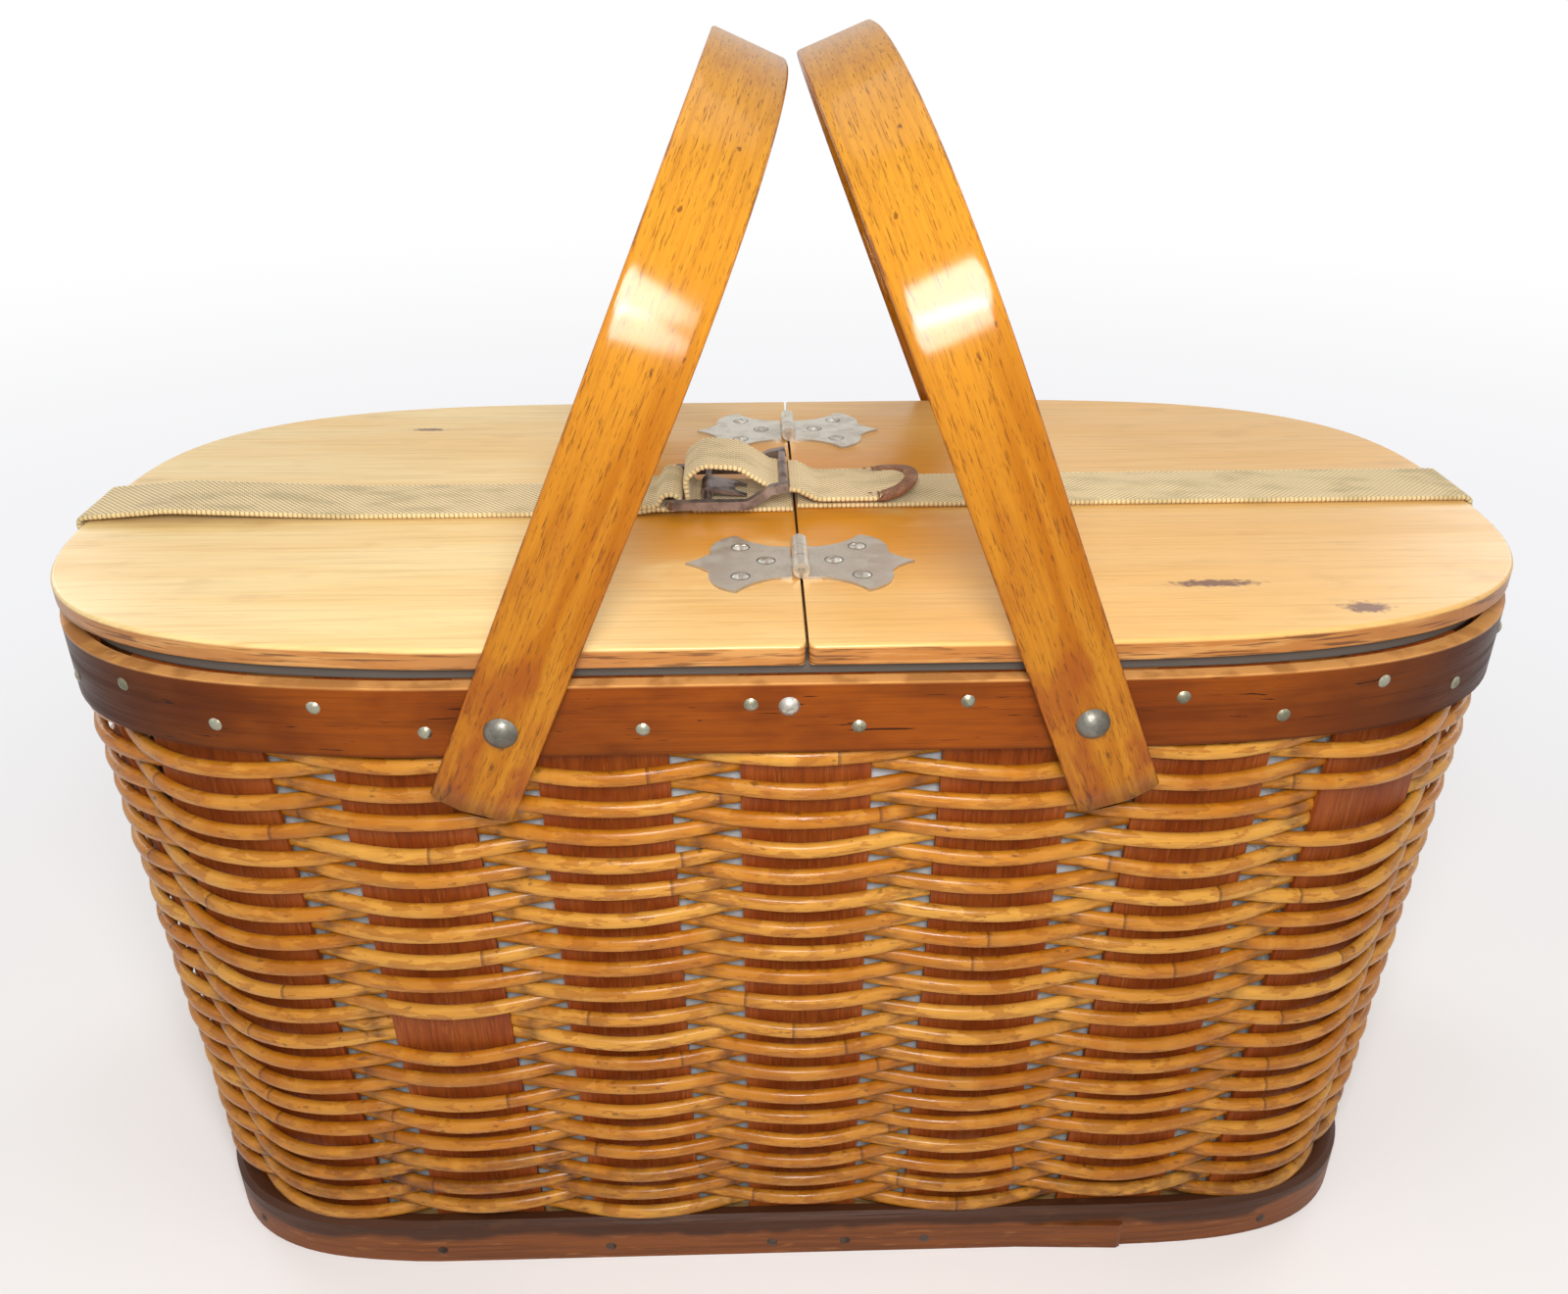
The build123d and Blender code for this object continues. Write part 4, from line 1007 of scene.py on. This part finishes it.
class BASKET_OT_straps(bpy.types.Operator):
    """Lay the webbing straps and their leather"""
    bl_idname = "basket.straps"
    bl_label = "Straps"

    def execute(self, context):
        webbing = webbing_material()
        leather = leather_material()
        bar = BUCKLE_BAR_HEIGHT
        # Each route is seen from the front: places along the basket and above the lids, with the
        # radius in mm of each bend between them
        left = (
            (-STRAP_END_X, STRAP_END_DROP), (-STRAP_END_X, ON_LID + 0.6 * MM),
            (-STRAP_END_X + 32 * MM, ON_LID + 3 * MM), (-STRAP_END_X + 95 * MM, ON_LID),
            (-56 * MM, ON_LID), (-48 * MM, bar - 2.8 * MM), (-39.2 * MM, bar - 2.8 * MM),
            (-39.2 * MM, bar + 2.8 * MM), (-44.8 * MM, bar + 2.8 * MM),
            (-47.5 * MM, ON_LID + 2.4 * MM), (-54 * MM, ON_LID + 2.1 * MM),
        )
        right = ((4 * MM, ON_LID), (STRAP_END_X, ON_LID), (STRAP_END_X, STRAP_END_DROP))
        loop = (
            (2 * MM, ON_LID), (-35.5 * MM, ON_LID), (-37 * MM, 13 * MM), (-30.5 * MM, 18 * MM),
            (-17.5 * MM, 17 * MM), (-5.8 * MM, UNDER_CRANK + 0.5 * MM), (-2.8 * MM, UNDER_CRANK),
        )
        tail = (
            (0.9 * MM, UNDER_CRANK - 0.3 * MM), (4 * MM, UNDER_CRANK - 0.6 * MM),
            (11 * MM, 4.7 * MM), (33 * MM, 4.7 * MM), (48.2 * MM, 7.93 * MM),
        )
        tail_bends = (4, 8, 26)
        left_bends, loop_bends = (2.6, 60, 200, 14, 10, 2.7, 2.7, 2.7, 3), (2.4, 4.5, 7, 9, 6)
        for name, route, bends, y, body, node in (
                ("left_strap_webbing", left, left_bends, -2.0 * MM, "left_lid", "strap_left"),
                ("right_strap_webbing", right, (2.6,), 3.5 * MM, "right_lid", "strap_right"),
                ("raised_loop_webbing", loop, loop_bends, 0.4 * MM, "left_lid", "strap_loop"),
                ("tail_webbing", tail, tail_bends, TAIL_Y, "right_lid", "strap_tail")):
            mesh = self.strap(name, route, bends, y, rounded_end=route is tail)
            place_piece(name, mesh, body, "webbing", webbing, node)
        for name, mesh, node in (
                ("tip_binding", self.binding(tail, tail_bends), "strap_tip"),
                ("patch_leather", self.patch(), "strap_patch")):
            place_piece(name, mesh, "right_lid", "strap_leather", leather, node)
        return {"FINISHED"}

    def binding(self, tail, bends):
        """The leather folded over the rounded end of the tail, with the webbing bare inside it."""
        profile = side_route(tail, [r * MM for r in bends], 0.5 * MM)
        radius = TIP_RADIUS - BINDING_INSET
        edge = [
            (BINDING_START_X + (TIP_CENTRE_X - BINDING_START_X) * n / 4, -radius)
            for n in range(4)]
        edge += [
            (TIP_CENTRE_X + radius * math.cos(a), radius * math.sin(a))
            for a in (math.pi * (n / 30 - 0.5) for n in range(31))]
        edge += [(x, -y) for x, y in reversed(edge[:4])]
        line = []
        for x, y in edge:
            reached = min(x, profile[-1][0])
            height = next(b[1] for a, b in zip(profile, profile[1:]) if b[0] >= reached)
            curl = TIP_CURL * max(0.0, (x - 40 * MM) / (9 * MM)) ** 2
            line.append((x, TAIL_Y + y, LID_TOP + height + curl))
        flat = rounded_section(BINDING_WIDTH, BINDING_THICKNESS, BINDING_CORNER)
        ring = poly_curve("binding_section", "2D", [[(a, b, 0) for a, b in flat]], True)
        holder = poly_curve("binding", "3D", [line], False, ring)
        holder.data.twist_mode = "Z_UP"
        mesh = skin_of(holder)
        bpy.data.objects.remove(ring)
        bm = bmesh.new()
        bm.from_mesh(mesh)
        bpy.data.meshes.remove(mesh)
        bmesh.ops.holes_fill(bm, edges=[e for e in bm.edges if e.is_boundary])
        for n in range(TIP_STITCHES):
            angle = math.pi * (n / (TIP_STITCHES - 1) - 0.5) * 1.16
            spot = Vector((
                TIP_CENTRE_X + radius * math.cos(angle), TAIL_Y + radius * math.sin(angle), 0))
            nearest = min(line, key=lambda p: (p[0] - spot.x) ** 2 + (p[1] - spot.y) ** 2)
            spot.z = nearest[2] + 1.5 * MM
            stitch = Matrix.Translation(spot) @ Matrix.Rotation(angle + math.pi / 2, 4, "Z")
            stitch @= Matrix.Diagonal((*STITCH, 1))
            bmesh.ops.create_uvsphere(bm, u_segments=8, v_segments=6, radius=1.0, matrix=stitch)
        return mesh_from(bm, "tip_binding")

    def patch(self):
        """The thin leather patch between the tail and the lid strap, with a wavy edge."""
        bm = bmesh.new()
        bmesh.ops.create_cube(bm, size=1.0)
        bmesh.ops.scale(bm, vec=(PATCH_LENGTH, PATCH_WIDTH, PATCH_THICKNESS), verts=bm.verts)
        for upright, offset, segments in ((True, PATCH_CORNER, 5), (False, PATCH_EDGE, 2)):
            edges = [
                e for e in bm.edges
                if (abs(e.verts[0].co.z - e.verts[1].co.z) > PATCH_THICKNESS / 2) == upright]
            bmesh.ops.bevel(
                bm, geom=edges, offset=offset, segments=segments, affect="EDGES", profile=0.5,
                material=-1)
        for cut in range(-11, 12):
            for normal, at in (
                    ((1, 0, 0), (cut * MM, 0, 0)), ((0, 1, 0), (0, cut * MM * 0.92, 0))):
                bmesh.ops.bisect_plane(
                    bm, geom=[*bm.verts, *bm.edges, *bm.faces], plane_co=at, plane_no=normal)
        for vert in bm.verts:
            wave = noise.noise(vert.co * PATCH_WAVES) * PATCH_WAVE
            edge = 2 * max(abs(vert.co.x) / PATCH_LENGTH, abs(vert.co.y) / PATCH_WIDTH)
            vert.co.z += wave + PATCH_LIFT * edge ** 6
        bmesh.ops.translate(bm, vec=PATCH_PLACE, verts=bm.verts)
        return mesh_from(bm, "patch_leather")

    def strap(self, name, route, radii, y, rounded_end):
        """A run of webbing, with its threads pressed into both faces and a beaded edge."""
        line = side_route(route, [r * MM for r in radii], THREAD / 4)
        section = rounded_section(
            WEBBING_WIDTH, WEBBING_THICKNESS, WEBBING_CORNER, WEBBING_FACE_STEPS)
        bm = sweep(line, section, side_view(y))
        bm.normal_update()
        along = bm.verts.layers.float["along"]
        across = bm.verts.layers.float["across"]
        weave = bm.verts.layers.float.new("weave")
        for vert in bm.verts:
            warp = math.cos(2 * math.pi * vert[across] / THREAD)
            weft = math.cos(2 * math.pi * vert[along] / THREAD)
            level = 0.5 + 0.5 * warp * weft
            if abs(vert[across]) > WEBBING_WIDTH / 2 - BEAD_ROW:
                level = 0.62 + 0.38 * math.cos(2 * math.pi * vert[along] / BEAD)
            vert[weave] = level
            vert.co += vert.normal * (level - 0.75) * THREAD_RELIEF
            if rounded_end and vert.co.x > TIP_CENTRE_X:
                reach = (vert.co.x - TIP_CENTRE_X) / TIP_RADIUS
                vert.co.y = y + (vert.co.y - y) * math.sqrt(max(0.01, 1 - reach ** 2)) * 0.96
        return mesh_from(bm, name)


class BASKET_OT_stage(bpy.types.Operator):
    """Set up the camera, the pale floor and the lamps"""
    bl_idname = "basket.stage"
    bl_label = "Stage"

    def execute(self, context):
        stage = context.scene.basket_stage
        scene = context.scene
        scene.view_settings.view_transform = "Standard"
        camera = bpy.data.objects.new("camera", bpy.data.cameras.new("camera"))
        scene.collection.objects.link(camera)
        camera.data.lens = stage.lens
        camera.data.sensor_width = SENSOR_WIDTH
        camera.data.sensor_fit = "HORIZONTAL"
        camera.data.clip_end = 50.0
        yaw, pitch, roll = CAMERA_TURN
        turn = Matrix.Rotation(yaw, 4, "Z") @ Matrix.Rotation(math.pi / 2 + pitch, 4, "X")
        turn @= Matrix.Rotation(roll, 4, "Z")
        camera.matrix_world = Matrix.Translation(CAMERA_PLACE) @ turn
        scene.camera = camera
        self.floor(scene, stage)
        self.world(scene, stage)
        for name, (place, target, size, power) in LAMPS.items():
            self.lamp(scene, name, place, target, size, getattr(stage, power))
        return {"FINISHED"}

    def lamp(self, scene, name, place, target, size, power):
        """A round soft lamp at a place, turned to its target."""
        data = bpy.data.lights.new(name, "AREA")
        data.shape = "DISK"
        data.size = size
        data.energy = power
        made = bpy.data.objects.new(name, data)
        scene.collection.objects.link(made)
        look = (Vector(target) - Vector(place)).to_track_quat("-Z", "Y")
        made.matrix_world = Matrix.Translation(place) @ look.to_matrix().to_4x4()

    def floor(self, scene, stage):
        """A pale paper sweep that stays white far away and keeps the basket's shadow."""
        bm = bmesh.new()
        bmesh.ops.create_grid(bm, x_segments=1, y_segments=1, size=FLOOR_HALF)
        floor = bpy.data.objects.new("floor", mesh_from(bm, "floor", smooth=False))
        scene.collection.objects.link(floor)
        floor.location.z = -FLOOR_DROP
        material, tree, place = new_material("White paper")
        paper = add(tree, "BsdfPrincipled", {"Base Color": (*stage.floor, 1), "Roughness": 0.9})
        away = add(tree, "VectorMath", {0: place}, operation="LENGTH").outputs["Value"]
        whiter, far = (
            add(tree, "MapRange", {"Value": away, "From Min": start, "From Max": end},
                interpolation_type="SMOOTHSTEP")
            for start, end in (FLOOR_WHITE, FLOOR_FADE))
        tint = layers(tree, linear("#F3F3F5"), (whiter, 1.0, (1.0, 1.0, 1.0)))
        white = add(tree, "Emission", {"Color": tint, "Strength": 1.0})
        share = add(tree, "Math", {0: background_rays(tree), 1: far}, operation="MULTIPLY")
        mixed = add(tree, "MixShader", {0: share, 1: paper, 2: white})
        add(tree, "OutputMaterial", {"Surface": mixed})
        floor.data.materials.append(material)

    def world(self, scene, stage):
        """Even light from all round, which is white where it is seen or mirrored."""
        world = bpy.data.worlds.new("studio")
        scene.world = world
        world.use_nodes = True
        tree = world.node_tree
        tree.nodes.clear()
        level = add(tree, "MapRange", {
            "Value": background_rays(tree), "To Min": stage.sky, "To Max": 1.0})
        light = add(tree, "Background", {"Color": (1, 1, 1, 1), "Strength": level})
        add(tree, "OutputWorld", {"Surface": light})


# Add-on

OPERATORS = (
    BASKET_OT_stage, BASKET_OT_boards, BASKET_OT_weave, BASKET_OT_handles, BASKET_OT_fittings,
    BASKET_OT_straps)


class BASKET_PT_panel(bpy.types.Panel):
    """Lists the basket's pieces"""
    bl_idname = "BASKET_PT_panel"
    bl_label = "Picnic basket"
    bl_space_type = "VIEW_3D"
    bl_region_type = "UI"
    bl_category = "Basket"

    def draw(self, context):
        for operator in OPERATORS:
            self.layout.operator(operator.bl_idname, text=operator.bl_label)


SETTINGS = {
    "basket_weave": WeaveSettings, "basket_wood": WoodSettings, "basket_fittings": FittingSettings,
    "basket_stage": StageSettings}


def register():
    for kind in (*SETTINGS.values(), *OPERATORS, BASKET_PT_panel):
        bpy.utils.register_class(kind)
    for name, kind in SETTINGS.items():
        setattr(bpy.types.Scene, name, PointerProperty(type=kind))


def unregister():
    for name in SETTINGS:
        delattr(bpy.types.Scene, name)
    for kind in reversed((*SETTINGS.values(), *OPERATORS, BASKET_PT_panel)):
        bpy.utils.unregister_class(kind)


def main():
    register()
    bpy.ops.basket.stage()
    bpy.ops.basket.boards()
    bpy.ops.basket.weave()
    bpy.ops.basket.handles()
    bpy.ops.basket.fittings()
    bpy.ops.basket.straps()


if __name__ == "__main__":
    main()
